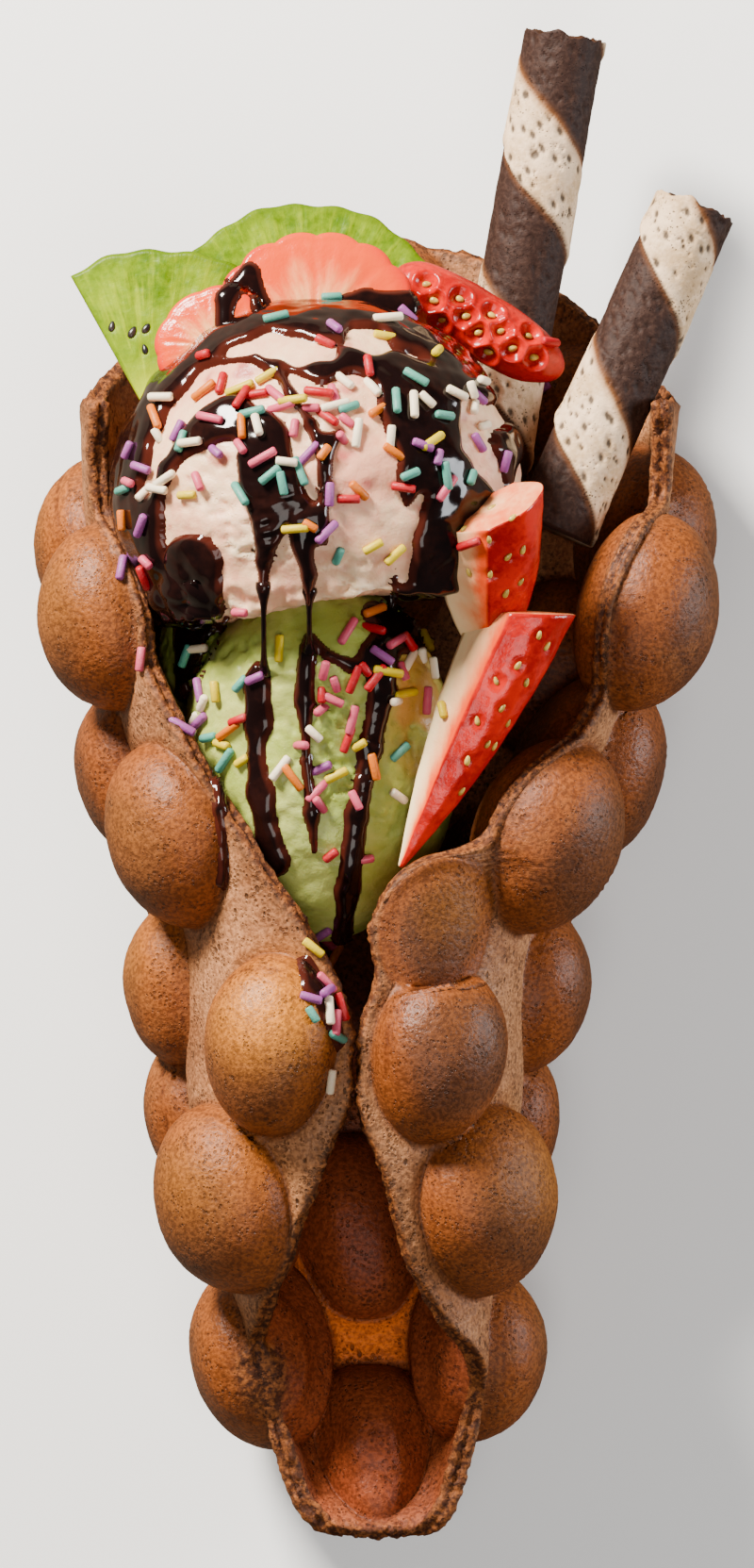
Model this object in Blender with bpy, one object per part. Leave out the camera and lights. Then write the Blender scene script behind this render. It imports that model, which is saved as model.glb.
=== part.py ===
"""A bubble waffle rolled into a cone, filled with ice cream, fruit and two wafer rolls.

The model is built upright and then laid on its back, because a cone can't stand by itself.
While it is upright, X is to the right, Y is the depth (the open front is at -Y) and Z is the
height above the tip. Lengths are in metres and angles in degrees. An angle round the cone is
0 at the back, positive towards the left side (-X) and negative towards the right side (+X).
"""
import math
import random

import bmesh
import bpy
from mathutils import Matrix, Vector, noise
from mathutils.bvhtree import BVHTree

GAP = 0.0003
FINE_GAP = 0.0006

# The rolled sheet: height, centre in X, half width of the middle surface
SHEET_PROFILE = (
    (0.0012, 0.0022, 0.0080),
    (0.0067, 0.0020, 0.0122),
    (0.0160, 0.0017, 0.0150),
    (0.0307, 0.0009, 0.0186),
    (0.0384, 0.0003, 0.0195),
    (0.0563, -0.0012, 0.0226),
    (0.0725, -0.0015, 0.0256),
    (0.0826, -0.0014, 0.0262),
    (0.0981, -0.0009, 0.0274),
    (0.1152, 0.0000, 0.0319),
    (0.1322, 0.0009, 0.0384),
    (0.1497, 0.0019, 0.0432),
    (0.1663, 0.0023, 0.0462),
    (0.1865, 0.0025, 0.0477),
    (0.2131, 0.0026, 0.0490),
)
# Where the two front edges of the sheet run: height, left angle, right angle
FRONT_EDGES = (
    (0.0012, 88.0, 88.0),
    (0.0206, 92.0, 92.0),
    (0.0299, 95.0, 113.0),
    (0.0361, 119.0, 139.0),
    (0.0470, 146.0, 158.0),
    (0.0532, 156.0, 162.5),
    (0.0625, 167.0, 169.0),
    (0.0671, 172.8, 174.0),
    (0.0733, 178.2, 177.6),
    (0.0826, 178.2, 177.2),
    (0.0919, 172.4, 171.0),
    (0.0981, 165.5, 160.0),
    (0.1105, 148.8, 144.0),
    (0.1182, 140.5, 126.0),
    (0.1291, 131.0, 119.0),
    (0.1415, 121.5, 112.0),
    (0.1570, 106.0, 99.0),
    (0.1700, 102.0, 96.0),
    (0.1865, 108.0, 103.0),
)
SHEET_THICKNESS = 0.0035
SHEET_EDGE_BULGE = 0.0007
BACK_RISE = 0.0266
# The depth of the cone as a share of its width: the tip curls forward and closes
DEPTH_PROFILE = (
    (0.0012, 0.16), (0.0067, 0.62), (0.0160, 0.92), (0.0300, 1.0), (0.0950, 1.0), (0.1600, 0.80),
)
BACK_SQUARENESS = 0.80
SHEET_ROWS = 21
SHEET_COLUMNS = 18

# The bubbles, in columns that run up the cone: heights and angles, the same on both sides
BUBBLE_LONG = 0.0154
BUBBLE_WIDE = 0.0126
BUBBLE_OUT = 0.0126
BUBBLE_IN = 0.0112
CHORD = 18.0
BUBBLE_SEGMENTS = 10
BUBBLE_RINGS = 6
FRONT_COLUMN = ((0.1516, 101.0), (0.1159, 114.0), (0.0818, 151.0))
SIDE_COLUMN = ((0.1640, 69.0), (0.1252, 78.0), (0.0904, 80.0), (0.0563, 120.0))
BACK_COLUMN = ((0.1810, 38.0), (0.1438, 42.0), (0.1074, 46.0), (0.0702, 54.0), (0.0307, 59.0))
MIDDLE_PITCH = 0.0372
MIDDLE_FIRST = 0.0508
MIDDLE_COUNT = 5
TIP_BUBBLE = (0.0158, 0.0)
TIP_BUBBLE_SIZE = (0.0120, 0.0108, 0.0092, 0.0100)
MIDDLE_LOW_OUT = 0.0092
MIDDLE_HIGH_OUT = 0.0050
MIDDLE_HIGH_FROM = 0.110
FRONT_NARROW = 0.84
LIP_BUBBLE = (0.1003, -153.0)
LIP_BUBBLE_SIZE = (0.0125, 0.0098, 0.0030, 0.0100)

# The floor that the cone lies on: its depth at the tip and how it runs away towards the top
REST_DEPTH = 0.0259
REST_SLOPE = 5.6

# Ice cream: centre, half sizes, and the heights where the two scoops meet
STRAWBERRY_SCOOP = Vector((-0.0072, -0.0110, 0.1720))
STRAWBERRY_SIZE = Vector((0.0330, 0.0325, 0.0305))
PISTACHIO_SCOOP = Vector((-0.0072, -0.0045, 0.1285))
PISTACHIO_SIZE = Vector((0.0226, 0.0218, 0.0300))
PISTACHIO_LUMP = Vector((-0.0185, 0.0050, 0.1450))
PISTACHIO_LUMP_SIZE = Vector((0.0148, 0.0140, 0.0150))
SCOOP_SEAM = 0.1532
SCOOP_LUMPS = 0.0006
LUMP_SCALE = 3.1
# The ragged skirt at the foot of the upper scoop: how far out, how high up, and how ragged
SKIRT = 0.0010
SKIRT_HEIGHT = 0.0035
SKIRT_FROM = 0.0132
SKIRT_SCALE = 160.0

# Wafer rolls: foot and head of the axis, and the pitch of the two-coloured ribbon
ROLL_RADIUS = 0.0067
ROLL_BORE = 0.0032
ROLL_BORE_DEPTH = 0.012
RIBBON_PITCH = 0.0345
RIBBON_SHARE = 0.42
RIBBON_HEIGHT = 0.00035
ROLL_RINGS = 11
ROLL_SIDES = 14
ROLL_RAGGED = 0.0006
ROLL_RIM_DROP = 0.0004
BACK_ROLL = (Vector((0.0168, 0.0212, 0.1560)), Vector((0.0334, 0.0212, 0.2480)))
FRONT_ROLL = (Vector((0.0312, -0.0040, 0.1660)), Vector((0.0547, 0.0010, 0.2190)))

# Lengthwise cuts of strawberry: head and tip of the axis, and the half sizes of the head
UPPER_WEDGE = (Vector((0.0203, -0.0335, 0.1690)), Vector((0.0205, -0.0200, 0.1430)))
UPPER_WEDGE_SECTION = Vector((0.0088, 0.0068))
LOWER_WEDGE = (Vector((0.0262, -0.0255, 0.1520)), Vector((0.0062, -0.0225, 0.1108)))
LOWER_WEDGE_SECTION = Vector((0.0076, 0.0064))
UPPER_WEDGE_TAPER = 2.6
LOWER_WEDGE_TAPER = 1.9
UPPER_WEDGE_ROLL = 12.0
LOWER_WEDGE_ROLL = -6.0
WEDGE_STEPS = 8
UPPER_WEDGE_SLANT = 0.38
LOWER_WEDGE_SLANT = 0.45
WEDGE_TIP = 0.06
# The wedge's section, in shares of its half sizes: two cut faces and the round skin
WEDGE_CORNERS = (
    (-1.0, -0.10), (-0.16, -1.0), (0.55, -0.88), (0.93, -0.42), (1.0, 0.10), (0.62, 0.62), (-0.25, 0.55),
)

# Slices: where each one stands, its tilts, its thickness and its size
KIWI_BACK = (Vector((-0.0095, 0.0100, 0.1955)), (-16.0, 0.0, 0.0), 0.0060)
KIWI_BACK_WEDGE = (0.0252, -50.0, 54.0, 8, 0.03, 0.008)
KIWI_LEFT = (Vector((-0.0338, 0.0035, 0.1850)), (-8.0, 0.0, -10.0), 0.0065)
KIWI_LEFT_WEDGE = (0.0275, -33.0, 30.0, 6, 0.03, 0.003)
SLICE = (Vector((-0.0076, -0.0075, 0.2006)), (-14.0, 0.0, 0.0), 0.0075)
SLICE_RIM = (0.0166, 0.0140, 14, 0.045)
LEFT_SLICE = (Vector((-0.0248, -0.0150, 0.1968)), (-14.0, -38.0, 0.0), 0.0060)
LEFT_SLICE_RIM = (0.0098, 0.0080, 8, 0.06)
RIGHT_SKIN = Vector((0.0190, 0.0014, 0.2000))
RIGHT_SKIN_SIZE = Vector((0.0162, 0.0056, 0.0054))
RIGHT_SKIN_TILT = 31.0
RIGHT_SKIN_FULLNESS = 3.0
SLICE_EDGE = 0.0008

# Sprinkles and sauce
SPRINKLE_RADIUS = 0.00085
SPRINKLE_SHORTEST = 0.0037
SPRINKLE_LONGEST = 0.0058
SPRINKLE_SPACING = 0.0046
SPRINKLE_SUNK = 0.35
STEEPEST = -0.30
SAUCE_HEIGHT = 0.0011
SAUCE_ROOT = 0.0012
SAUCE_SHOULDER = 0.62
SAUCE_KEEL = 0.0031
DRIZZLE_STEP = 0.0090
DRIZZLE_ROOM = 0.0025
# Groups of sprinkles: how many, the middle of the group in X and height, and its spread
TOP_SPRINKLES = (
    (22, (-0.0090, 0.1830), (0.0110, 0.0070)),
    (9, (0.0080, 0.1800), (0.0090, 0.0080)),
    (7, (-0.0300, 0.1730), (0.0060, 0.0080)),
)
LOW_SPRINKLES = (
    (12, (-0.0050, 0.1420), (0.0090, 0.0050)),
    (7, (-0.0080, 0.1250), (0.0080, 0.0060)),
)
EDGE_SPRINKLES = (7, (-0.0062, 0.0875), (0.0022, 0.0070))
TOP_SEED = 21
LOW_SEED = 31
EDGE_SEED = 51

# Colours and roughness of the pieces
WAFFLE_BROWN = (0.42, 0.21, 0.09)
CREAM_PINK = (0.85, 0.66, 0.60)
PISTACHIO_GREEN = (0.60, 0.70, 0.38)
CHOCOLATE = (0.12, 0.07, 0.05)
CREAM = (0.62, 0.56, 0.48)
KIWI_GREEN = (0.45, 0.62, 0.08)
STRAWBERRY_RED = (0.75, 0.06, 0.04)
BAKED = 0.65
FROZEN = 0.50
JUICY = 0.35
SHARP_FROM = 40.0


def steady_slopes(points):
    """Slopes at the points of a curve that never overshoots them."""
    spans = [b[0] - a[0] for a, b in zip(points, points[1:])]
    rises = [(b[1] - a[1]) / span for a, b, span in zip(points, points[1:], spans)]
    slopes = [rises[0]]
    for before, after in zip(rises, rises[1:]):
        slopes.append(0.0 if before * after <= 0.0 else 2.0 * before * after / (before + after))
    slopes.append(rises[-1])
    return slopes


class Curve:
    """A smooth curve through a few named points."""

    def __init__(self, points):
        self.points = sorted(points)
        self.slopes = steady_slopes(self.points)

    def at(self, place):
        """The curve's value at a place, held level past its ends."""
        points = self.points
        if place <= points[0][0]:
            return points[0][1]
        for index in range(len(points) - 1):
            start, value = points[index]
            end, next_value = points[index + 1]
            if place <= end:
                span = end - start
                part = (place - start) / span
                rest = 1.0 - part
                bend_in = rest * rest * part * span * self.slopes[index]
                bend_out = -part * part * rest * span * self.slopes[index + 1]
                level = value + (next_value - value) * part * part * (3.0 - 2.0 * part)
                return level + bend_in + bend_out
        return points[-1][1]


CENTRE = Curve([(row[0], row[1]) for row in SHEET_PROFILE])
HALF_WIDTH = Curve([(row[0], row[2]) for row in SHEET_PROFILE])
LEFT_EDGE = Curve([(row[0], row[1]) for row in FRONT_EDGES])
RIGHT_EDGE = Curve([(row[0], row[2]) for row in FRONT_EDGES])
DEPTH_SHARE = Curve(DEPTH_PROFILE)


def clear_scene():
    """Remove the objects of the open scene."""
    for leftover in list(bpy.data.objects):
        bpy.data.objects.remove(leftover, do_unlink=True)


def new_object(name, mesh_data):
    """Turn a closed bmesh into an object of that name, its faces pointing out."""
    bmesh.ops.recalc_face_normals(mesh_data, faces=mesh_data.faces)
    if mesh_data.calc_volume(signed=True) < 0.0:
        bmesh.ops.reverse_faces(mesh_data, faces=mesh_data.faces)
    mesh = bpy.data.meshes.new(name)
    mesh_data.to_mesh(mesh)
    mesh_data.free()
    piece = bpy.data.objects.new(name, mesh)
    bpy.context.scene.collection.objects.link(piece)
    return piece


def finish_with(piece, color, roughness):
    """Give a piece its own plain material and smooth shading."""
    material = bpy.data.materials.new(piece.name)
    material.use_nodes = True
    shader = material.node_tree.nodes["Principled BSDF"]
    shader.inputs["Base Color"].default_value = (*color, 1.0)
    shader.inputs["Roughness"].default_value = roughness
    shader.inputs["Metallic"].default_value = 0.0
    material.diffuse_color = (*color, 1.0)
    piece.data.materials.clear()
    piece.data.materials.append(material)
    piece.data.shade_smooth()
    piece.data.set_sharp_from_angle(angle=math.radians(SHARP_FROM))


def apply_boolean(piece, operation, other=None, group=None):
    """Apply one Boolean and remove what it used. The exact solver leaves open edges here."""
    cut = piece.modifiers.new("join", "BOOLEAN")
    cut.operation = operation
    cut.solver = "MANIFOLD"
    if group is not None:
        cut.operand_type = "COLLECTION"
        cut.collection = group
    else:
        cut.object = other
    bpy.context.view_layer.update()
    graph = bpy.context.evaluated_depsgraph_get()
    result = bpy.data.meshes.new_from_object(piece.evaluated_get(graph))
    piece.modifiers.clear()
    old_mesh = piece.data
    piece.data = result
    result.name = piece.name
    bpy.data.meshes.remove(old_mesh)
    used = list(group.objects) if group is not None else [other]
    for helper in used:
        bpy.data.objects.remove(helper, do_unlink=True)
    if group is not None:
        bpy.data.collections.remove(group)


def fuse(piece, helpers):
    """Join helper solids to a piece with one union."""
    if not helpers:
        return
    group = bpy.data.collections.new("toppings")
    bpy.context.scene.collection.children.link(group)
    for helper in helpers:
        group.objects.link(helper)
        bpy.context.scene.collection.objects.unlink(helper)
    apply_boolean(piece, "UNION", group=group)


def tidy(piece):
    """Split faces into triangles and drop loose scraps."""
    work = bmesh.new()
    work.from_mesh(piece.data)
    bmesh.ops.triangulate(work, faces=work.faces)
    islands = []
    unseen = set(work.verts)
    while unseen:
        start = unseen.pop()
        island = {start}
        to_visit = [start]
        while to_visit:
            vertex = to_visit.pop()
            for edge in vertex.link_edges:
                other = edge.other_vert(vertex)
                if other in unseen:
                    unseen.discard(other)
                    island.add(other)
                    to_visit.append(other)
        islands.append(island)
    islands.sort(key=len, reverse=True)
    for scrap in islands[1:]:
        bmesh.ops.delete(work, geom=list(scrap), context="VERTS")
    work.to_mesh(piece.data)
    work.free()


def shell_point(height, angle):
    """A point of the sheet's middle surface."""
    turn = math.radians(angle)
    half_width = HALF_WIDTH.at(height)
    half_depth = half_width * DEPTH_SHARE.at(height)
    side = math.sin(turn)
    back = math.cos(turn)
    if back > 0.0:
        side = math.copysign(abs(side) ** BACK_SQUARENESS, side)
        back = back ** BACK_SQUARENESS
    return Vector((CENTRE.at(height) - half_width * side, half_depth * back, height))


def shell_frame(height, angle):
    """The sheet's point, outward normal, upward and sideways directions there."""
    step = 0.0008
    turn_step = 1.5
    point = shell_point(height, angle)
    low = max(height - step, 0.0)
    up = (shell_point(height + step, angle) - shell_point(low, angle)).normalized()
    side = (shell_point(height, angle + turn_step) - shell_point(height, angle - turn_step)).normalized()
    out = side.cross(up).normalized()
    return point, out, up, side


def sheet_row(share):
    """Points and normals across one row of the sheet, from the right edge to the left."""
    low, high = SHEET_PROFILE[0][0], FRONT_EDGES[-1][0]
    edge_height = low + (high - low) * share ** 1.25
    rise = BACK_RISE * share ** 3
    points = []
    normals = []
    for column in range(SHEET_COLUMNS + 1):
        across = 2.0 * column / SHEET_COLUMNS - 1.0
        edge = LEFT_EDGE.at(edge_height) if across > 0.0 else RIGHT_EDGE.at(edge_height)
        angle = across * edge
        lift = math.cos(math.radians(min(abs(angle), 90.0))) ** 2
        point, out, _, _ = shell_frame(edge_height + rise * lift, angle)
        points.append(point)
        normals.append(out)
    return points, normals


def make_sheet():
    """The flat part of the waffle, rolled into a cone that is open down the front."""
    rows = [sheet_row(row / SHEET_ROWS) for row in range(SHEET_ROWS + 1)]
    work = bmesh.new()
    half = 0.5 * SHEET_THICKNESS
    outer = [[work.verts.new(p + n * half) for p, n in zip(*row)] for row in rows]
    inner = [[work.verts.new(p - n * half) for p, n in zip(*row)] for row in rows]
    last_row, last_column = SHEET_ROWS, SHEET_COLUMNS
    for row in range(last_row):
        for column in range(last_column):
            a, b = outer[row][column], outer[row][column + 1]
            c, d = outer[row + 1][column + 1], outer[row + 1][column]
            work.faces.new((a, b, c, d))
            a, b = inner[row][column], inner[row][column + 1]
            c, d = inner[row + 1][column + 1], inner[row + 1][column]
            work.faces.new((d, c, b, a))
    border = [(0, column) for column in range(last_column)]
    border += [(row, last_column) for row in range(last_row)]
    border += [(last_row, last_column - column) for column in range(last_column)]
    border += [(last_row - row, 0) for row in range(last_row)]
    middle = []
    for row, column in border:
        inside_row = min(max(row, 1), last_row - 1)
        inside_column = min(max(column, 1), last_column - 1)
        here = rows[row][0][column]
        away = (here - rows[inside_row][0][inside_column]).normalized()
        middle.append(work.verts.new(here + away * SHEET_EDGE_BULGE))
    count = len(border)
    for index in range(count):
        row, column = border[index]
        next_row, next_column = border[(index + 1) % count]
        near, far = middle[index], middle[(index + 1) % count]
        work.faces.new((outer[next_row][next_column], outer[row][column], near, far))
        work.faces.new((far, near, inner[row][column], inner[next_row][next_column]))
    bmesh.ops.triangulate(work, faces=work.faces)
    return new_object("waffle", work)


def bubble_points(height, angle, long, wide, out_size, in_size, twist=0.0):
    """The rings of one bubble, bent to follow the sheet it sits in."""
    turn = math.radians(twist)
    rings = []
    span = (shell_point(height, angle + CHORD) - shell_point(height, angle - CHORD)).length
    degrees_per_metre = 2.0 * CHORD / span
    for ring in range(BUBBLE_RINGS + 1):
        tilt = math.pi * ring / BUBBLE_RINGS
        rise = math.cos(tilt)
        spread = math.sin(tilt)
        lift = rise * (out_size if rise > 0.0 else in_size)
        count = 1 if ring in (0, BUBBLE_RINGS) else BUBBLE_SEGMENTS
        points = []
        for segment in range(count):
            around = 2.0 * math.pi * segment / BUBBLE_SEGMENTS
            along = long * spread * math.cos(around)
            across = wide * spread * math.sin(around)
            up_shift = along * math.cos(turn) - across * math.sin(turn)
            side_shift = along * math.sin(turn) + across * math.cos(turn)
            place = max(height + up_shift, 0.0)
            base, normal, _, _ = shell_frame(place, angle + side_shift * degrees_per_metre)
            points.append(base + normal * lift)
        rings.append(points)
    return rings


def inside_contents(point):
    """Whether a point is in, or too near, the ice cream or a wafer roll."""
    for centre, size in contents_ellipsoids():
        offset = point - centre
        scaled = Vector((offset.x / size.x, offset.y / size.y, offset.z / size.z))
        if scaled.length < 1.0:
            return True
    for foot, head in (BACK_ROLL, FRONT_ROLL):
        axis = head - foot
        share = min(max((point - foot).dot(axis) / axis.length_squared, 0.0), 1.0)
        if (point - foot - axis * share).length < ROLL_RADIUS + RIBBON_HEIGHT + 2.0 * FINE_GAP:
            return True
    return False


def contents_ellipsoids():
    """Centres and half sizes of the ice cream with room for its lumps."""
    room = SCOOP_LUMPS + 2.0 * FINE_GAP
    margin = Vector((room, room, room))
    return (
        (STRAWBERRY_SCOOP, STRAWBERRY_SIZE + margin),
        (PISTACHIO_SCOOP, PISTACHIO_SIZE + margin),
        (PISTACHIO_LUMP, PISTACHIO_LUMP_SIZE + margin),
    )


def make_bubble(height, angle, sizes, twist=0.0):
    """One bubble of the waffle, no deeper inwards than the ice cream leaves room for."""
    long, wide, out_size, in_size = sizes
    rings = bubble_points(height, angle, long, wide, out_size, in_size, twist)
    while in_size > 0.5 * SHEET_THICKNESS + 0.0002:
        if not any(inside_contents(point) for ring in rings for point in ring):
            break
        in_size -= 0.0006
        rings = bubble_points(height, angle, long, wide, out_size, in_size, twist)
    work = bmesh.new()
    loops = [[work.verts.new(point) for point in ring] for ring in rings]
    for ring in range(BUBBLE_RINGS):
        above, below = loops[ring], loops[ring + 1]
        for segment in range(BUBBLE_SEGMENTS):
            following = (segment + 1) % BUBBLE_SEGMENTS
            if len(above) == 1:
                work.faces.new((above[0], below[segment], below[following]))
            elif len(below) == 1:
                work.faces.new((above[segment], below[0], above[following]))
            else:
                work.faces.new((above[segment], below[segment], below[following], above[following]))
    return new_object("bubble", work)


def bubble_places():
    """Height, angle, sizes and twist of every bubble."""
    draw = random.Random(11)
    places = []
    for side in (1.0, -1.0):
        for column in (FRONT_COLUMN, SIDE_COLUMN, BACK_COLUMN):
            for height, angle in column:
                grow = draw.uniform(0.96, 1.05)
                wide = BUBBLE_WIDE * grow
                if angle > 140.0:
                    wide *= FRONT_NARROW
                sizes = (BUBBLE_LONG * grow, wide, BUBBLE_OUT * grow, BUBBLE_IN * grow)
                shift = draw.uniform(-0.0012, 0.0012)
                places.append((height + shift, side * angle, sizes, draw.uniform(-9.0, 9.0)))
    for index in range(MIDDLE_COUNT):
        height = MIDDLE_FIRST + MIDDLE_PITCH * index
        out_size = MIDDLE_HIGH_OUT if height > MIDDLE_HIGH_FROM else MIDDLE_LOW_OUT
        places.append((height, 0.0, (BUBBLE_LONG, BUBBLE_WIDE, out_size, BUBBLE_IN), 0.0))
    places.append((*TIP_BUBBLE, TIP_BUBBLE_SIZE, 0.0))
    places.append((*LIP_BUBBLE, LIP_BUBBLE_SIZE, 0.0))
    return places


def drop_on(tree, x, z):
    """The point and normal where a line from the front first meets a surface."""
    point, normal, _, _ = tree.ray_cast(Vector((x, -1.0, z)), Vector((0.0, 1.0, 0.0)))
    return point, normal


def make_sprinkle(point, normal, heading, length):
    """A six-sided sugar rod, half sunk in what it lies on."""
    side = normal.orthogonal().normalized()
    axis = Matrix.Rotation(heading, 3, normal) @ side
    across = normal.cross(axis).normalized()
    centre = point + normal * (SPRINKLE_SUNK * SPRINKLE_RADIUS)
    work = bmesh.new()
    ends = []
    for end in (-0.5, 0.5):
        ring = []
        for corner in range(6):
            turn = math.pi * (corner + 0.5) / 3.0
            spoke = across * math.cos(turn) + normal * math.sin(turn)
            ring.append(work.verts.new(centre + axis * (end * length) + spoke * SPRINKLE_RADIUS))
        ends.append(ring)
    for corner in range(6):
        following = (corner + 1) % 6
        work.faces.new((ends[0][corner], ends[0][following], ends[1][following], ends[1][corner]))
    work.faces.new(ends[0])
    work.faces.new(ends[1])
    return new_object("sprinkle", work)


def scatter_sprinkles(piece, seed, count, centre, spread, neighbours):
    """Sprinkles over the front of a piece, clear of each other and of its neighbours."""
    draw = random.Random(seed)
    tree = BVHTree.FromObject(piece, bpy.context.evaluated_depsgraph_get())
    placed = []
    rods = []
    for _ in range(count * 12):
        if len(rods) == count:
            break
        x = centre[0] + draw.gauss(0.0, 1.0) * spread[0]
        z = centre[1] + draw.gauss(0.0, 1.0) * spread[1]
        heading = draw.uniform(0.0, math.pi)
        length = draw.uniform(SPRINKLE_SHORTEST, SPRINKLE_LONGEST)
        point, normal = drop_on(tree, x, z)
        if point is None or normal.y > STEEPEST:
            continue
        if any((point - other).length < SPRINKLE_SPACING for other in placed):
            continue
        reach = 0.5 * length + SPRINKLE_RADIUS + 2.0 * FINE_GAP
        if any(near.find_nearest(point, reach)[0] is not None for near in neighbours):
            continue
        placed.append(point)
        rods.append(make_sprinkle(point, normal, heading, length))
    return rods


def make_drizzle(tree, stroke, neighbours):
    """A thick run of sauce draped on a surface: X, height and half width at each point."""
    stations = []
    for start, end in zip(stroke, stroke[1:]):
        steps = max(1, round(math.hypot(end[0] - start[0], end[1] - start[1]) / DRIZZLE_STEP))
        for step in range(steps):
            share = step / steps
            stations.append([a + (b - a) * share for a, b in zip(start, end)])
    stations.append(list(stroke[-1]))
    landed = []
    for x, z, half in stations:
        point, normal = drop_on(tree, x, z)
        if point is None:
            break
        if any(near.find_nearest(point, half + DRIZZLE_ROOM)[0] is not None for near in neighbours):
            if landed:
                break
            continue
        landed.append((point, normal, half))
    if len(landed) < 2:
        return None
    work = bmesh.new()
    rings = []
    for index, (point, normal, half) in enumerate(landed):
        before = landed[max(index - 1, 0)][0]
        after = landed[min(index + 1, len(landed) - 1)][0]
        along = (after - before).normalized()
        across = normal.cross(along).normalized()
        height = min(SAUCE_HEIGHT, half)
        shape = (
            (-1.0, -SAUCE_ROOT), (-SAUCE_SHOULDER, height), (SAUCE_SHOULDER, height),
            (1.0, -SAUCE_ROOT), (0.0, -SAUCE_KEEL),
        )
        rings.append([work.verts.new(point + across * (half * s) + normal * n) for s, n in shape])
    size = len(rings[0])
    for first, second in zip(rings, rings[1:]):
        for corner in range(size):
            following = (corner + 1) % size
            work.faces.new((first[corner], first[following], second[following], second[corner]))
    work.faces.new(rings[0])
    work.faces.new(rings[-1])
    bmesh.ops.triangulate(work, faces=work.faces)
    return new_object("drizzle", work)


def make_ball(name, centre, size, columns, rings, grow=0.0, lumps=0.0):
    """A ball of ice cream, lumpy where lumps are asked for."""
    work = bmesh.new()
    bmesh.ops.create_uvsphere(work, u_segments=columns, v_segments=rings, radius=1.0)
    for vertex in work.verts:
        way = vertex.co.normalized()
        reach = Vector((way.x * (size.x + grow), way.y * (size.y + grow), way.z * (size.z + grow)))
        swell = noise.noise(way * LUMP_SCALE) * lumps
        vertex.co = centre + reach + way * swell
    return new_object(name, work)


def level_off(piece, floor=None, ceiling=None):
    """Flatten a ball of ice cream where it meets the other scoop, with a rough skirt."""
    for vertex in piece.data.vertices:
        if floor is not None and vertex.co.z < floor + SKIRT_HEIGHT:
            outward = vertex.co - STRAWBERRY_SCOOP
            outward.z = 0.0
            vertex.co.z = max(vertex.co.z, floor)
            if outward.length > SKIRT_FROM:
                ragged = 0.6 + 0.8 * noise.noise(outward * SKIRT_SCALE)
                vertex.co += outward.normalized() * (SKIRT * ragged)
        if ceiling is not None and vertex.co.z > ceiling:
            vertex.co.z = ceiling


def surface_tree(piece):
    """A search tree over a piece's faces."""
    return BVHTree.FromObject(piece, bpy.context.evaluated_depsgraph_get())


def top_sauce():
    """Runs of sauce on the strawberry scoop: X, height and half width of each point."""
    left_run = ((-0.0215, 0.1955, 0.0020), (-0.0330, 0.1860, 0.0022), (-0.0375, 0.1760, 0.0026),
                (-0.0385, 0.1675, 0.0034), (-0.0335, 0.1610, 0.0042), (-0.0265, 0.1565, 0.0046))
    first_drip = ((-0.0235, 0.1850, 0.0022), (-0.0205, 0.1775, 0.0030), (-0.0180, 0.1700, 0.0036),
                  (-0.0162, 0.1640, 0.0024), (-0.0155, 0.1575, 0.0012))
    second_drip = ((-0.0120, 0.1905, 0.0018), (-0.0085, 0.1820, 0.0018), (-0.0098, 0.1730, 0.0024),
                   (-0.0100, 0.1640, 0.0022), (-0.0086, 0.1580, 0.0012))
    wide_left = ((0.0030, 0.1940, 0.0040), (0.0065, 0.1850, 0.0042), (0.0085, 0.1760, 0.0044),
                 (0.0075, 0.1670, 0.0042), (0.0062, 0.1590, 0.0034))
    wide_right = ((0.0120, 0.1920, 0.0046), (0.0145, 0.1830, 0.0046), (0.0150, 0.1730, 0.0044))
    return (left_run, first_drip, second_drip, wide_left, wide_right)


def low_sauce():
    """Runs of sauce on the pistachio scoop: X, height and half width of each point."""
    left_drip = ((-0.0160, 0.1480, 0.0016), (-0.0170, 0.1380, 0.0026), (-0.0172, 0.1260, 0.0026),
                 (-0.0150, 0.1140, 0.0024))
    middle_drip = ((-0.0094, 0.1440, 0.0016), (-0.0094, 0.1320, 0.0018), (-0.0080, 0.1160, 0.0012))
    blob_drip = ((0.0050, 0.1500, 0.0046), (0.0030, 0.1420, 0.0030), (0.0004, 0.1280, 0.0028),
                 (-0.0016, 0.1120, 0.0024), (-0.0022, 0.1010, 0.0018))
    return (left_drip, middle_drip, blob_drip)


def make_scoop(name, seed, spots, sauce, neighbours, balls):
    """A scoop: its balls, then the sauce and the sprinkles fused to them."""
    core = balls[0]
    core.name = name
    fuse(core, balls[1:])
    tree = surface_tree(core)
    runs = [make_drizzle(tree, stroke, neighbours) for stroke in sauce]
    rods = []
    for offset, (count, centre, spread) in enumerate(spots):
        rods += scatter_sprinkles(core, seed + offset, count, centre, spread, neighbours)
    fuse(core, [run for run in runs if run is not None] + rods)
    tidy(core)
    return core


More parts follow.
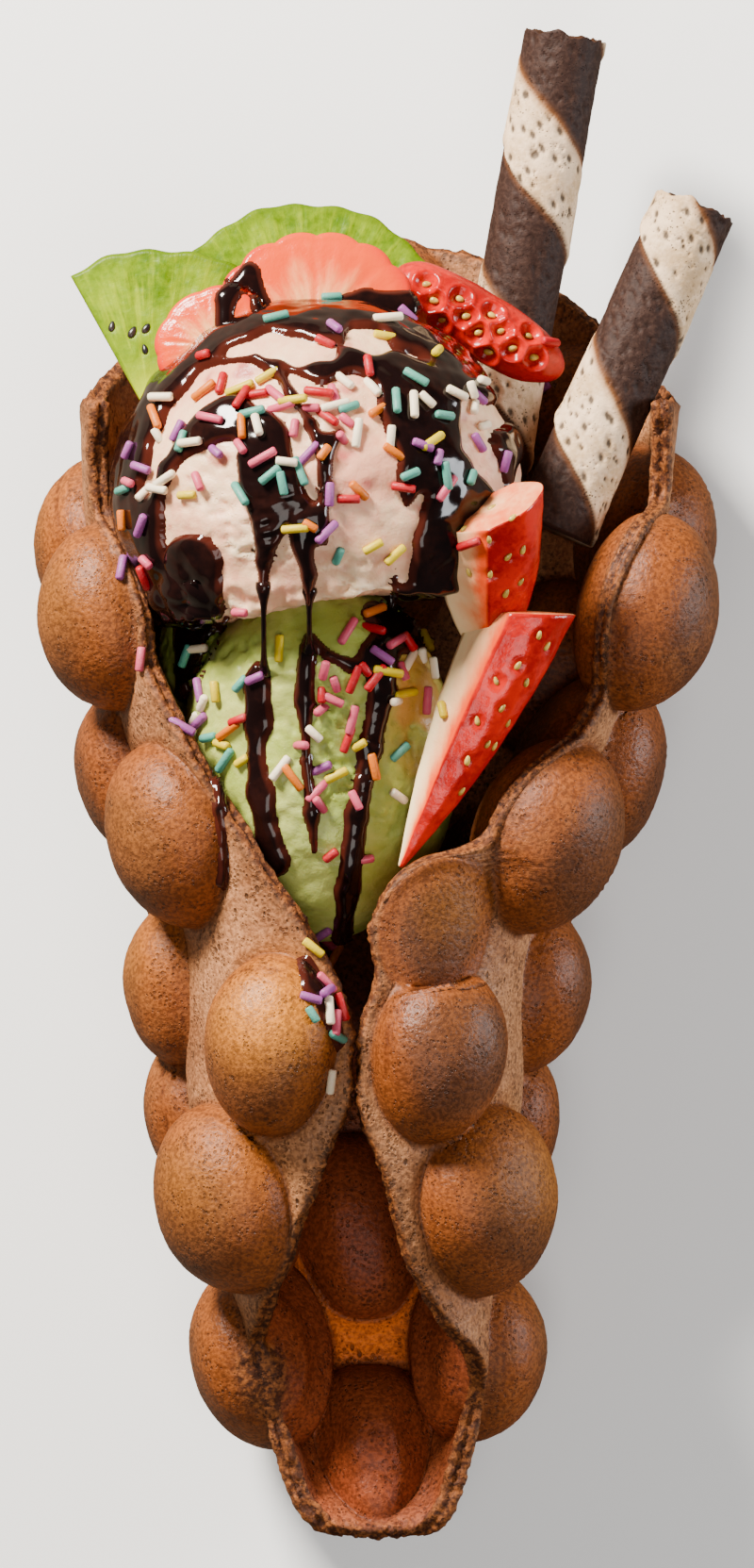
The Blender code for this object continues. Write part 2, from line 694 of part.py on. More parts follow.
def make_roll(name, foot, head, turn):
    """A rolled wafer: a ribbon wound on itself, with an open end."""
    axis = head - foot
    length = axis.length
    work = bmesh.new()
    loops = []
    for ring in range(ROLL_RINGS + 1):
        points = []
        for side in range(ROLL_SIDES):
            height = length * ring / ROLL_RINGS
            around = 2.0 * math.pi * side / ROLL_SIDES
            phase = (height / RIBBON_PITCH + around / (2.0 * math.pi) + turn) % 1.0
            radius = ROLL_RADIUS + (RIBBON_HEIGHT if phase < RIBBON_SHARE else 0.0)
            if ring == ROLL_RINGS:
                height += ROLL_RAGGED * noise.noise(Vector((around * 1.7, turn, 0.0)))
            spot = (radius * math.cos(around), radius * math.sin(around), height)
            points.append(work.verts.new(spot))
        loops.append(points)
    for lower, upper in zip(loops, loops[1:]):
        for side in range(ROLL_SIDES):
            following = (side + 1) % ROLL_SIDES
            work.faces.new((lower[side], lower[following], upper[following], upper[side]))
    work.faces.new(list(reversed(loops[0])))
    rim = []
    bottom = []
    for side in range(ROLL_SIDES):
        around = 2.0 * math.pi * side / ROLL_SIDES
        x, y = ROLL_BORE * math.cos(around), ROLL_BORE * math.sin(around)
        rim.append(work.verts.new((x, y, length - ROLL_RIM_DROP)))
        bottom.append(work.verts.new((x, y, length - ROLL_BORE_DEPTH)))
    for side in range(ROLL_SIDES):
        following = (side + 1) % ROLL_SIDES
        work.faces.new((loops[-1][side], loops[-1][following], rim[following], rim[side]))
        work.faces.new((rim[side], rim[following], bottom[following], bottom[side]))
    work.faces.new(bottom)
    bmesh.ops.triangulate(work, faces=work.faces)
    lean = Vector((0.0, 0.0, 1.0)).rotation_difference(axis).to_matrix().to_4x4()
    work.transform(Matrix.Translation(foot) @ lean)
    return new_object(name, work)


def make_slab(name, outline, place, tilts, thickness):
    """A flat slice with the given outline, its two rims softened."""
    work = bmesh.new()
    soft = SLICE_EDGE / thickness
    layers = ((-0.5, SLICE_EDGE), (soft - 0.5, 0.0), (0.5 - soft, 0.0), (0.5, SLICE_EDGE))
    middle = Vector((sum(x for x, _ in outline), 0.0, sum(z for _, z in outline))) / len(outline)
    rings = []
    for depth, inset in layers:
        ring = []
        for x, z in outline:
            corner = Vector((x, 0.0, z))
            toward = (middle - corner).normalized() * inset
            ring.append(work.verts.new(corner + toward + Vector((0.0, depth * thickness, 0.0))))
        rings.append(ring)
    count = len(outline)
    for first, second in zip(rings, rings[1:]):
        for corner in range(count):
            following = (corner + 1) % count
            work.faces.new((first[corner], second[corner], second[following], first[following]))
    work.faces.new(rings[0])
    work.faces.new(rings[-1])
    bmesh.ops.triangulate(work, faces=work.faces)
    work.transform(turned(place, *tilts))
    return new_object(name, work)


def wedge_outline(radius, from_angle, to_angle, corners, ripple, tip_width):
    """A cut wedge of a round slice: its tip at the origin, its rind above."""
    outline = [(-0.5 * tip_width, 0.0), (0.5 * tip_width, 0.0)]
    for corner in range(corners + 1):
        turn = math.radians(to_angle + (from_angle - to_angle) * corner / corners)
        reach = radius * (1.0 - ripple * (corner % 2))
        outline.append((reach * math.sin(turn), reach * math.cos(turn)))
    return outline


def round_outline(radius_x, radius_z, scallops, depth):
    """A round slice with a scalloped rim."""
    outline = []
    for corner in range(2 * scallops):
        turn = math.pi * corner / scallops
        reach = 1.0 - depth * (corner % 2)
        outline.append((radius_x * reach * math.cos(turn), radius_z * reach * math.sin(turn)))
    return outline


def turned(place, tilt_x, tilt_y, tilt_z):
    """A place with turns about the three axes, in degrees."""
    turn = Matrix.Rotation(math.radians(tilt_z), 4, "Z")
    turn = turn @ Matrix.Rotation(math.radians(tilt_y), 4, "Y")
    turn = turn @ Matrix.Rotation(math.radians(tilt_x), 4, "X")
    return Matrix.Translation(place) @ turn


def make_wedge(name, top, tip, section, taper, roll, slant):
    """A lengthwise cut of a strawberry: a slanting top, two cut faces and a rounded skin."""
    axis = tip - top
    length = axis.length
    work = bmesh.new()
    rings = []
    for step in range(WEDGE_STEPS + 1):
        share = step / WEDGE_STEPS
        size = (1.0 - share ** taper) * (1.0 - WEDGE_TIP) + WEDGE_TIP
        ring = []
        for across, deep in WEDGE_CORNERS:
            side = across * section[0] * size
            rise = slant * side * (1.0 - share) ** 4
            ring.append(work.verts.new((side, deep * section[1] * size, rise - length * share)))
        rings.append(ring)
    count = len(WEDGE_CORNERS)
    for first, second in zip(rings, rings[1:]):
        for corner in range(count):
            following = (corner + 1) % count
            work.faces.new((first[corner], second[corner], second[following], first[following]))
    work.faces.new(rings[0])
    work.faces.new(rings[-1])
    bmesh.ops.triangulate(work, faces=work.faces)
    turn = Vector((0.0, 0.0, -1.0)).rotation_difference(axis).to_matrix().to_4x4()
    work.transform(Matrix.Translation(top) @ turn @ Matrix.Rotation(math.radians(roll), 4, "Z"))
    return new_object(name, work)


def fill_out(piece, half_length, fullness):
    """Make a long ball blunter, so that it keeps its thickness nearer to its ends."""
    for vertex in piece.data.vertices:
        share = min(abs(vertex.co.x) / half_length, 1.0)
        if share < 1.0:
            grow = math.sqrt((1.0 - share ** fullness) / (1.0 - share ** 2.0))
            vertex.co.y *= grow
            vertex.co.z *= grow


def cut_by_scoops(piece):
    """Trim a piece of fruit to sit on the ice cream with a hair's gap."""
    room = SCOOP_LUMPS + 2.0 * FINE_GAP
    cutter = make_ball("cutter", STRAWBERRY_SCOOP, STRAWBERRY_SIZE, 36, 22, grow=room)
    apply_boolean(piece, "DIFFERENCE", other=cutter)
    cutter = make_ball("cutter", PISTACHIO_SCOOP, PISTACHIO_SIZE, 32, 20, grow=room)
    apply_boolean(piece, "DIFFERENCE", other=cutter)
    tidy(piece)


def make_fruit():
    """Kiwi and strawberry pieces, in the order they lie from the back to the front."""
    kiwi_back = make_slab("kiwi_back", wedge_outline(*KIWI_BACK_WEDGE), *KIWI_BACK)
    kiwi_left = make_slab("kiwi_left", wedge_outline(*KIWI_LEFT_WEDGE), *KIWI_LEFT)
    slice_face = make_slab("strawberry_slice", round_outline(*SLICE_RIM), *SLICE)
    left_face = make_slab("strawberry_left", round_outline(*LEFT_SLICE_RIM), *LEFT_SLICE)
    right_skin = make_ball("strawberry_right", Vector((0.0, 0.0, 0.0)), RIGHT_SKIN_SIZE, 12, 8)
    fill_out(right_skin, RIGHT_SKIN_SIZE.x, RIGHT_SKIN_FULLNESS)
    right_skin.data.transform(turned(RIGHT_SKIN, 0.0, RIGHT_SKIN_TILT, 0.0))
    lower_cut = (LOWER_WEDGE_TAPER, LOWER_WEDGE_ROLL, LOWER_WEDGE_SLANT)
    upper_cut = (UPPER_WEDGE_TAPER, UPPER_WEDGE_ROLL, UPPER_WEDGE_SLANT)
    upper = make_wedge("strawberry_wedge_upper", *UPPER_WEDGE, UPPER_WEDGE_SECTION, *upper_cut)
    lower = make_wedge("strawberry_wedge_lower", *LOWER_WEDGE, LOWER_WEDGE_SECTION, *lower_cut)
    room = Vector((FINE_GAP, FINE_GAP))
    head, tip = LOWER_WEDGE
    head = head + (head - tip).normalized() * FINE_GAP
    cutter = make_wedge("cutter", head, tip, LOWER_WEDGE_SECTION + room, *lower_cut)
    apply_boolean(upper, "DIFFERENCE", other=cutter)
    pieces = [kiwi_back, kiwi_left, slice_face, left_face, right_skin, upper, lower]
    for piece in pieces:
        cut_by_scoops(piece)
    return pieces


def make_waffle():
    """The rolled sheet with its bubbles, and the sprinkles that stuck to its front edge."""
    waffle = make_sheet()
    bubbles = [make_bubble(*place) for place in bubble_places()]
    fuse(waffle, bubbles)
    fuse(waffle, scatter_sprinkles(waffle, EDGE_SEED, *EDGE_SPRINKLES, []))
    bottom = bmesh.new()
    bmesh.ops.create_cube(bottom, size=1.0)
    slope = Matrix.Rotation(math.radians(-REST_SLOPE), 4, "X")
    lowered = Matrix.Translation((0.0, REST_DEPTH, 0.0)) @ slope @ Matrix.Translation((0.0, 0.5, 0.0))
    bottom.transform(lowered)
    apply_boolean(waffle, "DIFFERENCE", other=new_object("floor_cut", bottom))
    tidy(waffle)
    return waffle


def lay_down(pieces):
    """Lay the cone on its back, its box's bottom centre at the origin."""
    cone = bpy.data.objects.new("cone", None)
    bpy.context.scene.collection.objects.link(cone)
    turn = Matrix.Rotation(math.radians(REST_SLOPE - 90.0), 4, "X")
    corners = [turn @ vertex.co for piece in pieces for vertex in piece.data.vertices]
    low = [min(corner[axis] for corner in corners) for axis in range(3)]
    high = [max(corner[axis] for corner in corners) for axis in range(3)]
    shift = Vector((-0.5 * (low[0] + high[0]), -0.5 * (low[1] + high[1]), -low[2]))
    cone.matrix_world = Matrix.Translation(shift) @ turn
    for piece in pieces:
        piece.parent = cone


def main():
    """Build every piece upright, then lay the cone down."""
    clear_scene()
    back_roll = make_roll("wafer_roll_back", *BACK_ROLL, turn=0.35)
    front_roll = make_roll("wafer_roll_front", *FRONT_ROLL, turn=0.10)
    fruit = make_fruit()
    around_top = [surface_tree(piece) for piece in [back_roll, front_roll] + fruit]
    waffle = make_waffle()
    around_top.append(surface_tree(waffle))
    top_ball = make_ball("ball", STRAWBERRY_SCOOP, STRAWBERRY_SIZE, 20, 13, lumps=SCOOP_LUMPS)
    level_off(top_ball, floor=SCOOP_SEAM + GAP)
    low_ball = make_ball("ball", PISTACHIO_SCOOP, PISTACHIO_SIZE, 14, 10, lumps=SCOOP_LUMPS)
    level_off(low_ball, ceiling=SCOOP_SEAM)
    lump = make_ball("lump", PISTACHIO_LUMP, PISTACHIO_LUMP_SIZE, 10, 8, lumps=SCOOP_LUMPS)
    level_off(lump, ceiling=SCOOP_SEAM - GAP)
    top_scoop = make_scoop("scoop_strawberry", TOP_SEED, TOP_SPRINKLES, top_sauce(), around_top, [top_ball])
    around_low = around_top + [surface_tree(top_scoop)]
    low_balls = [low_ball, lump]
    low_scoop = make_scoop("scoop_pistachio", LOW_SEED, LOW_SPRINKLES, low_sauce(), around_low, low_balls)
    finish_with(waffle, WAFFLE_BROWN, BAKED)
    finish_with(top_scoop, CREAM_PINK, FROZEN)
    finish_with(low_scoop, PISTACHIO_GREEN, FROZEN)
    finish_with(back_roll, CHOCOLATE, BAKED)
    finish_with(front_roll, CREAM, BAKED)
    for piece in fruit:
        is_kiwi = piece.name.startswith("kiwi")
        finish_with(piece, KIWI_GREEN if is_kiwi else STRAWBERRY_RED, JUICY)
    lay_down([waffle, top_scoop, low_scoop, back_roll, front_roll] + fruit)


main()
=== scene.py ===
"""Looks of a bubble waffle cone filled with ice cream, fruit and wafer rolls.

Every piece is shaped upright, X to the right, Y the depth (the viewer is at -Y) and Z the height
above the cone's tip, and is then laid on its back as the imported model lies. Lengths are in
metres and angles in degrees. An angle round the cone is 0 at the back, positive towards the
left side and negative towards the right side.
"""
import logging
import math
import random
from collections.abc import Callable, Mapping, Sequence
from dataclasses import dataclass, field
from enum import Enum

import bmesh
import bpy
import numpy as np
from mathutils import Matrix, Vector, noise
from mathutils.bvhtree import BVHTree


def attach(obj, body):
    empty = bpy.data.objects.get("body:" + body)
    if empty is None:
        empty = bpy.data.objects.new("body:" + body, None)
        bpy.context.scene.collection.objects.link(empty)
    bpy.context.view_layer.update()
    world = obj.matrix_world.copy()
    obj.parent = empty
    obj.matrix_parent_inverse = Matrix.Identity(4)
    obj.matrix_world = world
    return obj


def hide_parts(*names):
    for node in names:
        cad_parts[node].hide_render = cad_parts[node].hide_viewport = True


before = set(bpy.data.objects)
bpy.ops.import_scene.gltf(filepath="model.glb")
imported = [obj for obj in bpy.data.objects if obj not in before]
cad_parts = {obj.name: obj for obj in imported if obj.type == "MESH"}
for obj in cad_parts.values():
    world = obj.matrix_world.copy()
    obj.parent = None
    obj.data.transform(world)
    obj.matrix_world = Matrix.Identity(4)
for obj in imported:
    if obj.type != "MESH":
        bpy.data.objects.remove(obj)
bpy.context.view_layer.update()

LOG = logging.getLogger("waffle_cone")
BODY = "root"
MM = 0.001
UP = Vector((0.0, 0.0, 1.0))
AHEAD = Vector((0.0, 1.0, 0.0))
VIEWER_Y = -1.0  # where looks from the front start
BUBBLE_ROOM = 0.0012  # gap between the waffle's bubbles and what fills the cone
Color = tuple[float, float, float]
Piece = bpy.types.Object
Triple = tuple[float, float, float]
SauceRun = tuple[Triple, ...]  # X, height and half width in millimetres at each stop, seen from the front


@dataclass(frozen=True)
class LyingPose:
    """How the upright cone is laid on its back.

    Attributes:
        slope: how far the cone's axis is off level, in degrees.
        shift: where the upright origin lands, in metres.
    """

    slope: float = 5.6
    shift: Triple = (-0.003375, -0.125481, 0.025776)

    def matrix(self) -> Matrix:
        """The turn and shift from upright to lying."""
        return Matrix.Translation(self.shift) @ Matrix.Rotation(math.radians(self.slope - 90.0), 4, "X")

    def lay(self, points: np.ndarray) -> np.ndarray:
        """Lay upright points down, none of them under the floor.

        Args:
            points: upright points, one a row.

        Returns:
            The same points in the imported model's frame.
        """
        turn = np.array(self.matrix())
        laid = points @ turn[:3, :3].T + turn[:3, 3]
        laid[:, 2] = np.maximum(laid[:, 2], 0.0)
        return laid


POSE = LyingPose()


class SmoothCurve:
    """A curve through a few named points that never overshoots them."""

    def __init__(self, points: Sequence[tuple[float, float]], samples: int = 1201) -> None:
        """Sample the curve once, so that whole arrays can be read from it."""
        ordered = sorted(points)
        spans = [b[0] - a[0] for a, b in zip(ordered, ordered[1:])]
        rises = [(b[1] - a[1]) / span for a, b, span in zip(ordered, ordered[1:], spans)]
        slopes = [rises[0]]
        for before, after in zip(rises, rises[1:]):
            slopes.append(0.0 if before * after <= 0.0 else 2.0 * before * after / (before + after))
        slopes.append(rises[-1])
        self.places = np.linspace(ordered[0][0], ordered[-1][0], samples)
        starts = np.array([point[0] for point in ordered])
        values = np.array([point[1] for point in ordered])
        index = np.clip(np.searchsorted(starts, self.places, side="right") - 1, 0, len(spans) - 1)
        span = np.array(spans)[index]
        part = (self.places - starts[index]) / span
        rest = 1.0 - part
        slope = np.array(slopes)
        self.values = (
            values[index]
            + (values[index + 1] - values[index]) * part * part * (3.0 - 2.0 * part)
            + rest * rest * part * span * slope[index]
            - part * part * rest * span * slope[index + 1]
        )

    def at(self, place: np.ndarray | float) -> np.ndarray:
        """The curve's values at some places, held level past its ends."""
        return np.interp(place, self.places, self.values)


def smooth_step(value: np.ndarray, low: float, high: float) -> np.ndarray:
    """A soft step from 0 at low to 1 at high."""
    share = np.clip((value - low) / (high - low), 0.0, 1.0)
    return share * share * (3.0 - 2.0 * share)


def soft_noise(points: np.ndarray, scale: Sequence[float] | float, octaves: int = 1) -> np.ndarray:
    """Smooth noise at many points.

    Args:
        points: the points, one a row.
        scale: how fine the noise is along each axis, in cycles per metre.
        octaves: how many finer layers are added, each half as strong.

    Returns:
        Values around 0, mostly between -1 and 1.
    """
    spread = points * np.asarray(scale)
    total = np.zeros(len(points))
    strength = 1.0
    for octave in range(octaves):
        layer = spread * 2.0 ** octave + 17.3 * octave
        total += strength * np.array([noise.noise(Vector(row)) for row in layer])
        strength *= 0.5
    return total


def unit(vectors: np.ndarray) -> np.ndarray:
    """Vectors of length 1, along the last axis."""
    return vectors / np.maximum(np.linalg.norm(vectors, axis=-1, keepdims=True), 1e-12)


def deselect_all() -> None:
    """Leave nothing selected, so that the next operator acts on its own piece."""
    if bpy.context.object is not None and bpy.context.object.mode != "OBJECT":
        bpy.ops.object.mode_set(mode="OBJECT")
    bpy.ops.object.select_all(action="DESELECT")


def make_active(piece: Piece) -> None:
    """Select one piece alone and make it the active one."""
    deselect_all()
    piece.select_set(True)
    bpy.context.view_layer.objects.active = piece


def tint_points(mesh: bpy.types.Mesh, name: str, colors: np.ndarray) -> None:
    """Store a colour for each point of a mesh.

    Args:
        mesh: the mesh.
        name: the attribute's name.
        colors: one row of up to four values a point.
    """
    rows = np.ones((len(mesh.vertices), 4), np.float32)
    rows[:, : colors.shape[1]] = colors
    layer = mesh.color_attributes.new(name=name, type="FLOAT_COLOR", domain="POINT")
    layer.data.foreach_set("color", rows.ravel())


def face_outwards(piece: Piece) -> None:
    """Turn a closed piece's faces outwards."""
    work = bmesh.new()
    work.from_mesh(piece.data)
    bmesh.ops.recalc_face_normals(work, faces=work.faces)
    if work.calc_volume(signed=True) < 0.0:
        bmesh.ops.reverse_faces(work, faces=work.faces)
    work.to_mesh(piece.data)
    work.free()


def mesh_piece(
    name: str,
    points: np.ndarray,
    faces: Sequence[Sequence[int]],
    tints: Mapping[str, np.ndarray] | None = None,
    laid: bool = True,
) -> Piece:
    """Make a smooth-shaded piece from points and faces.

    Args:
        name: the piece's name.
        points: upright points, one a row.
        faces: corner numbers of each face.
        tints: colours stored on the points, by name.
        laid: whether the points are laid down now.

    Returns:
        The new object, at the origin.
    """
    mesh = bpy.data.meshes.new(name)
    mesh.from_pydata((POSE.lay(points) if laid else points).tolist(), [], [list(face) for face in faces])
    for tint_name, colors in (tints or {}).items():
        tint_points(mesh, tint_name, colors)
    piece = bpy.data.objects.new(name, mesh)
    bpy.context.scene.collection.objects.link(piece)
    face_outwards(piece)
    piece.data.shade_smooth()
    return piece


def apply_modifier(piece: Piece, kind: str, **settings: object) -> None:
    """Add one modifier to a piece and apply it."""
    make_active(piece)
    modifier = piece.modifiers.new(kind.lower(), kind)
    for name, value in settings.items():
        setattr(modifier, name, value)
    bpy.ops.object.modifier_apply(modifier=modifier.name)


def points_of(piece: Piece) -> np.ndarray:
    """The points of a piece's mesh, one a row."""
    flat = np.empty(3 * len(piece.data.vertices))
    piece.data.vertices.foreach_get("co", flat)
    return flat.reshape(-1, 3)


def set_points(piece: Piece, points: np.ndarray) -> None:
    """Give a piece's mesh new places for its points."""
    piece.data.vertices.foreach_set("co", points.ravel())
    piece.data.update()


def grid_faces(rows: int, columns: int, first: int = 0, closed: bool = False) -> list[tuple[int, ...]]:
    """Faces between neighbouring rows of a grid of points.

    Args:
        rows: how many rows of points there are.
        columns: how many points there are in a row.
        first: the number of the first point.
        closed: whether each row joins up with itself.

    Returns:
        Four corner numbers a face.
    """
    row, column = np.meshgrid(np.arange(rows - 1), np.arange(columns if closed else columns - 1), indexing="ij")
    following = (column + 1) % columns
    low = first + row * columns
    high = low + columns
    stack = np.stack([low + column, low + following, high + following, high + column], axis=-1)
    return [tuple(face) for face in stack.reshape(-1, 4).tolist()]


def tube_faces(rows: int, columns: int, first: int, caps: tuple[int, int]) -> list[tuple[int, ...]]:
    """Faces of a closed tube: its rings of points, and fans to a point at each end.

    Args:
        rows: how many rings there are.
        columns: how many points there are in a ring.
        first: the number of the first point.
        caps: the numbers of the points that close the first and the last ring.

    Returns:
        Corner numbers of each face.
    """
    faces = grid_faces(rows, columns, first, closed=True)
    last = first + (rows - 1) * columns
    for side in range(columns):
        following = (side + 1) % columns
        faces.append((first + following, first + side, caps[0]))
        faces.append((last + side, last + following, caps[1]))
    return faces


def tree_of(pieces: Sequence[Piece]) -> BVHTree:
    """A search tree over upright or laid pieces, in the frame that their meshes are in."""
    points: list[Triple] = []
    faces: list[list[int]] = []
    for piece in pieces:
        offset = len(points)
        points += [tuple(vertex.co) for vertex in piece.data.vertices]
        faces += [[offset + corner for corner in face.vertices] for face in piece.data.polygons]
    return BVHTree.FromPolygons(points, faces)


def front_hit(target: BVHTree, x: float, height: float) -> tuple[Vector | None, Vector | None]:
    """Where a look from the front first meets upright surfaces, and the normal there."""
    return target.ray_cast(Vector((x, VIEWER_Y, height)), AHEAD)[:2]


def unit_ball(name: str, split: int) -> Piece:
    """A ball of radius 1 at the origin, its first faces split so many times."""
    deselect_all()
    bpy.ops.mesh.primitive_ico_sphere_add(subdivisions=split, radius=1.0, location=(0.0, 0.0, 0.0))
    piece = bpy.context.object
    piece.name = name
    piece.data.name = name
    return piece


@dataclass(frozen=True)
class Bubble:
    """One bubble of the waffle.

    Attributes:
        height: the middle's height.
        angle: the middle's angle round the cone.
        long: half size up the cone.
        wide: half size round the cone.
        out: how far it stands out.
        inward: how far it stands in.
        twist: how far it is turned in the sheet.
        gold: how strong the painted yellow highlight on its upper part is.
        ring: how strong its baked crescent is.
    """

    height: float
    angle: float
    long: float
    wide: float
    out: float
    inward: float
    twist: float
    gold: float = 0.0
    ring: float = 0.0


@dataclass
class IceCream:
    """The two scoops: where they are and how big they are, and how rough.

    Attributes:
        top_centre, top_size: the upper scoop.
        low_centre, low_size: the lower scoop.
        lump_centre, lump_size: the part of the lower scoop squeezed out at the left.
        seam, gap: the height where the scoops meet, and how far above it the upper one ends.
        lumps: how uneven the balls are.
        skirt, skirt_height: how far and how high the upper scoop's foot is pressed out.
        tuck: how far the lower scoop reaches up behind that foot.
        lean: how far the lower scoop's top swells forward.
        top_split, low_split, lump_split: how often each ball's first faces are split.
        top_patches, low_patches, lump_patches: X, height, size and strength of the torn patches.
    """

    top_centre: Vector = field(default_factory=lambda: Vector((-0.0072, -0.0110, 0.1720)))
    top_size: Vector = field(default_factory=lambda: Vector((0.0330, 0.0325, 0.0305)))
    low_centre: Vector = field(default_factory=lambda: Vector((-0.0072, -0.0045, 0.1285)))
    low_size: Vector = field(default_factory=lambda: Vector((0.0226, 0.0218, 0.0300)))
    lump_centre: Vector = field(default_factory=lambda: Vector((-0.0185, 0.0050, 0.1450)))
    lump_size: Vector = field(default_factory=lambda: Vector((0.0148, 0.0140, 0.0150)))
    seam: float = 0.1532
    lumps: float = 0.0006
    gap: float = 0.0003
    skirt: float = 0.0020
    skirt_height: float = 0.0052
    tuck: float = 0.0012
    lean: float = 0.0080
    top_split: int = 7
    low_split: int = 7
    lump_split: int = 6
    top_patches: tuple[tuple[float, ...], ...] = (
        (-0.0200, 0.1580, 0.0110, 1.4), (-0.0100, 0.1550, 0.0080, 1.3), (-0.0240, 0.1680, 0.0070, 0.8),
        (-0.0010, 0.1560, 0.0090, 1.0), (-0.0080, 0.1870, 0.0070, 0.6), (0.0200, 0.1790, 0.0050, 0.6),
        (0.0000, 0.1660, 0.0050, 0.2),
    )
    low_patches: tuple[tuple[float, ...], ...] = (
        (-0.0030, 0.1270, 0.0080, 1.0), (-0.0040, 0.1360, 0.0060, 0.8), (0.0100, 0.1350, 0.0085, 1.0),
        (-0.0180, 0.1480, 0.0070, 0.6), (0.0020, 0.1180, 0.0060, 0.6), (-0.0060, 0.1530, 0.0120, 0.4),
    )
    lump_patches: tuple[tuple[float, ...], ...] = ((-0.0300, 0.1500, 0.0080, 0.7),)

    def room(self) -> list[tuple[np.ndarray, np.ndarray]]:
        """Centres and half sizes that the waffle's bubbles stay out of."""
        spare = self.lumps + BUBBLE_ROOM
        pairs = (
            (self.top_centre, self.top_size),
            (self.low_centre, self.low_size),
            (self.lump_centre, self.lump_size),
        )
        return [(np.array(centre), np.array(size) + spare) for centre, size in pairs]

    def ball(self, name: str, centre: Vector, size: Vector, split: int) -> Piece:
        """A fine upright ball of the given half sizes.

        Args:
            name: the piece's name.
            centre: the middle of the ball.
            size: its half sizes.
            split: how often the first ball's faces are split.

        Returns:
            The ball, its faces fine enough for the crumb.
        """
        piece = unit_ball(name, split)
        way = unit(points_of(piece))
        swell = soft_noise(way, 3.1) * self.lumps
        set_points(piece, np.array(centre) + way * np.array(size) + way * swell[:, None])
        return piece

    def roughen(
        self, piece: Piece, centre: Vector, patches: Sequence[tuple[float, ...]]
    ) -> np.ndarray:
        """Give a ball its creamy waves and its torn, crumbly patches.

        Args:
            piece: the ball.
            centre: its middle.
            patches: X, height, size and strength of each torn patch.

        Returns:
            How torn each point is, from 0 to 1.
        """
        points = points_of(piece)
        way = unit(points - np.array(centre))
        torn = np.zeros(len(points))
        for x, height, size, strength in patches:
            far = np.hypot(points[:, 0] - x, points[:, 2] - height) / size
            torn = np.maximum(torn, strength * np.exp(-far * far))
        torn *= smooth_step(soft_noise(points, 150.0, 2), -0.30, 0.25)
        wave = soft_noise(points, (80.0, 80.0, 150.0), 3) * 0.00062
        grain = soft_noise(points, 620.0, 2)
        pits = np.minimum(soft_noise(points, (520.0, 520.0, 760.0), 2), 0.10)
        move = wave + grain * (0.00005 + 0.00022 * torn) + pits * (0.00012 + 0.0015 * torn)
        set_points(piece, points + way * move[:, None])
        return torn

    def build(self) -> list[Piece]:
        """Make the two scoops and the squeezed-out lump, upright."""
        top = self.ball("scoop_strawberry_cream", self.top_centre, self.top_size, self.top_split)
        torn = self.roughen(top, self.top_centre, self.top_patches)
        points = points_of(top)
        floor = self.seam + self.gap
        low = points[:, 2] < floor + self.skirt_height
        outward = points - np.array(self.top_centre)
        outward[:, 2] = 0.0
        ragged = 0.55 + 1.1 * soft_noise(points, (260.0, 260.0, 60.0), 2)
        fade = smooth_step(points[:, 2], floor + self.skirt_height, floor)
        reach = (low & (np.linalg.norm(outward, axis=1) > 0.4 * self.top_size.x)) * fade * self.skirt * ragged
        points += unit(outward) * reach[:, None]
        points[:, 2] = np.maximum(points[:, 2], self.hem(points))
        set_points(top, points)
        berry = smooth_step(soft_noise(points, 170.0, 3), 0.34, 0.78)
        tint_points(top.data, "Cream", np.stack([berry, torn, np.zeros(len(points))], axis=1))
        low_scoop = self.ball("scoop_pistachio_cream", self.low_centre, self.low_size, self.low_split)
        self.finish_low(low_scoop, self.roughen(low_scoop, self.low_centre, self.low_patches))
        lump = self.ball("scoop_pistachio_lump", self.lump_centre, self.lump_size, self.lump_split)
        self.finish_low(lump, self.roughen(lump, self.lump_centre, self.lump_patches))
        return [top, low_scoop, lump]

    def hem(self, points: np.ndarray) -> np.ndarray:
        """Height of the upper scoop's ragged lower edge: it slants, and hangs lower at the left."""
        slant = np.clip(0.1518 + 0.20 * (points[:, 0] + 0.018), 0.1512, 0.1556)
        flat = points * np.array((1.0, 1.0, 0.0))
        return slant + 0.0009 * soft_noise(flat, 240.0, 3) + 0.0006 * soft_noise(flat, 90.0, 1)

    def finish_low(self, piece: Piece, torn: np.ndarray) -> None:
        """Level a lower ball under the upper scoop and colour its peach side.

        Args:
            piece: the ball.
            torn: how torn each point is.
        """
        points = points_of(piece)
        forward = smooth_step(points[:, 2], 0.128, 0.150) * smooth_step(points[:, 1], self.low_centre.y, -0.014)
        points[:, 1] -= self.lean * forward
        points[:, 2] = np.minimum(points[:, 2], self.hem(points) + self.tuck)
        set_points(piece, points)
        far = np.hypot((points[:, 0] - 0.0125) / 0.0090, (points[:, 2] - 0.1370) / 0.0150)
        wander = 0.25 * soft_noise(points, 160.0, 2)
        peach = smooth_step(far + wander, 1.25, 0.65)
        tint_points(piece.data, "Cream", np.stack([np.zeros(len(points)), torn, peach], axis=1))


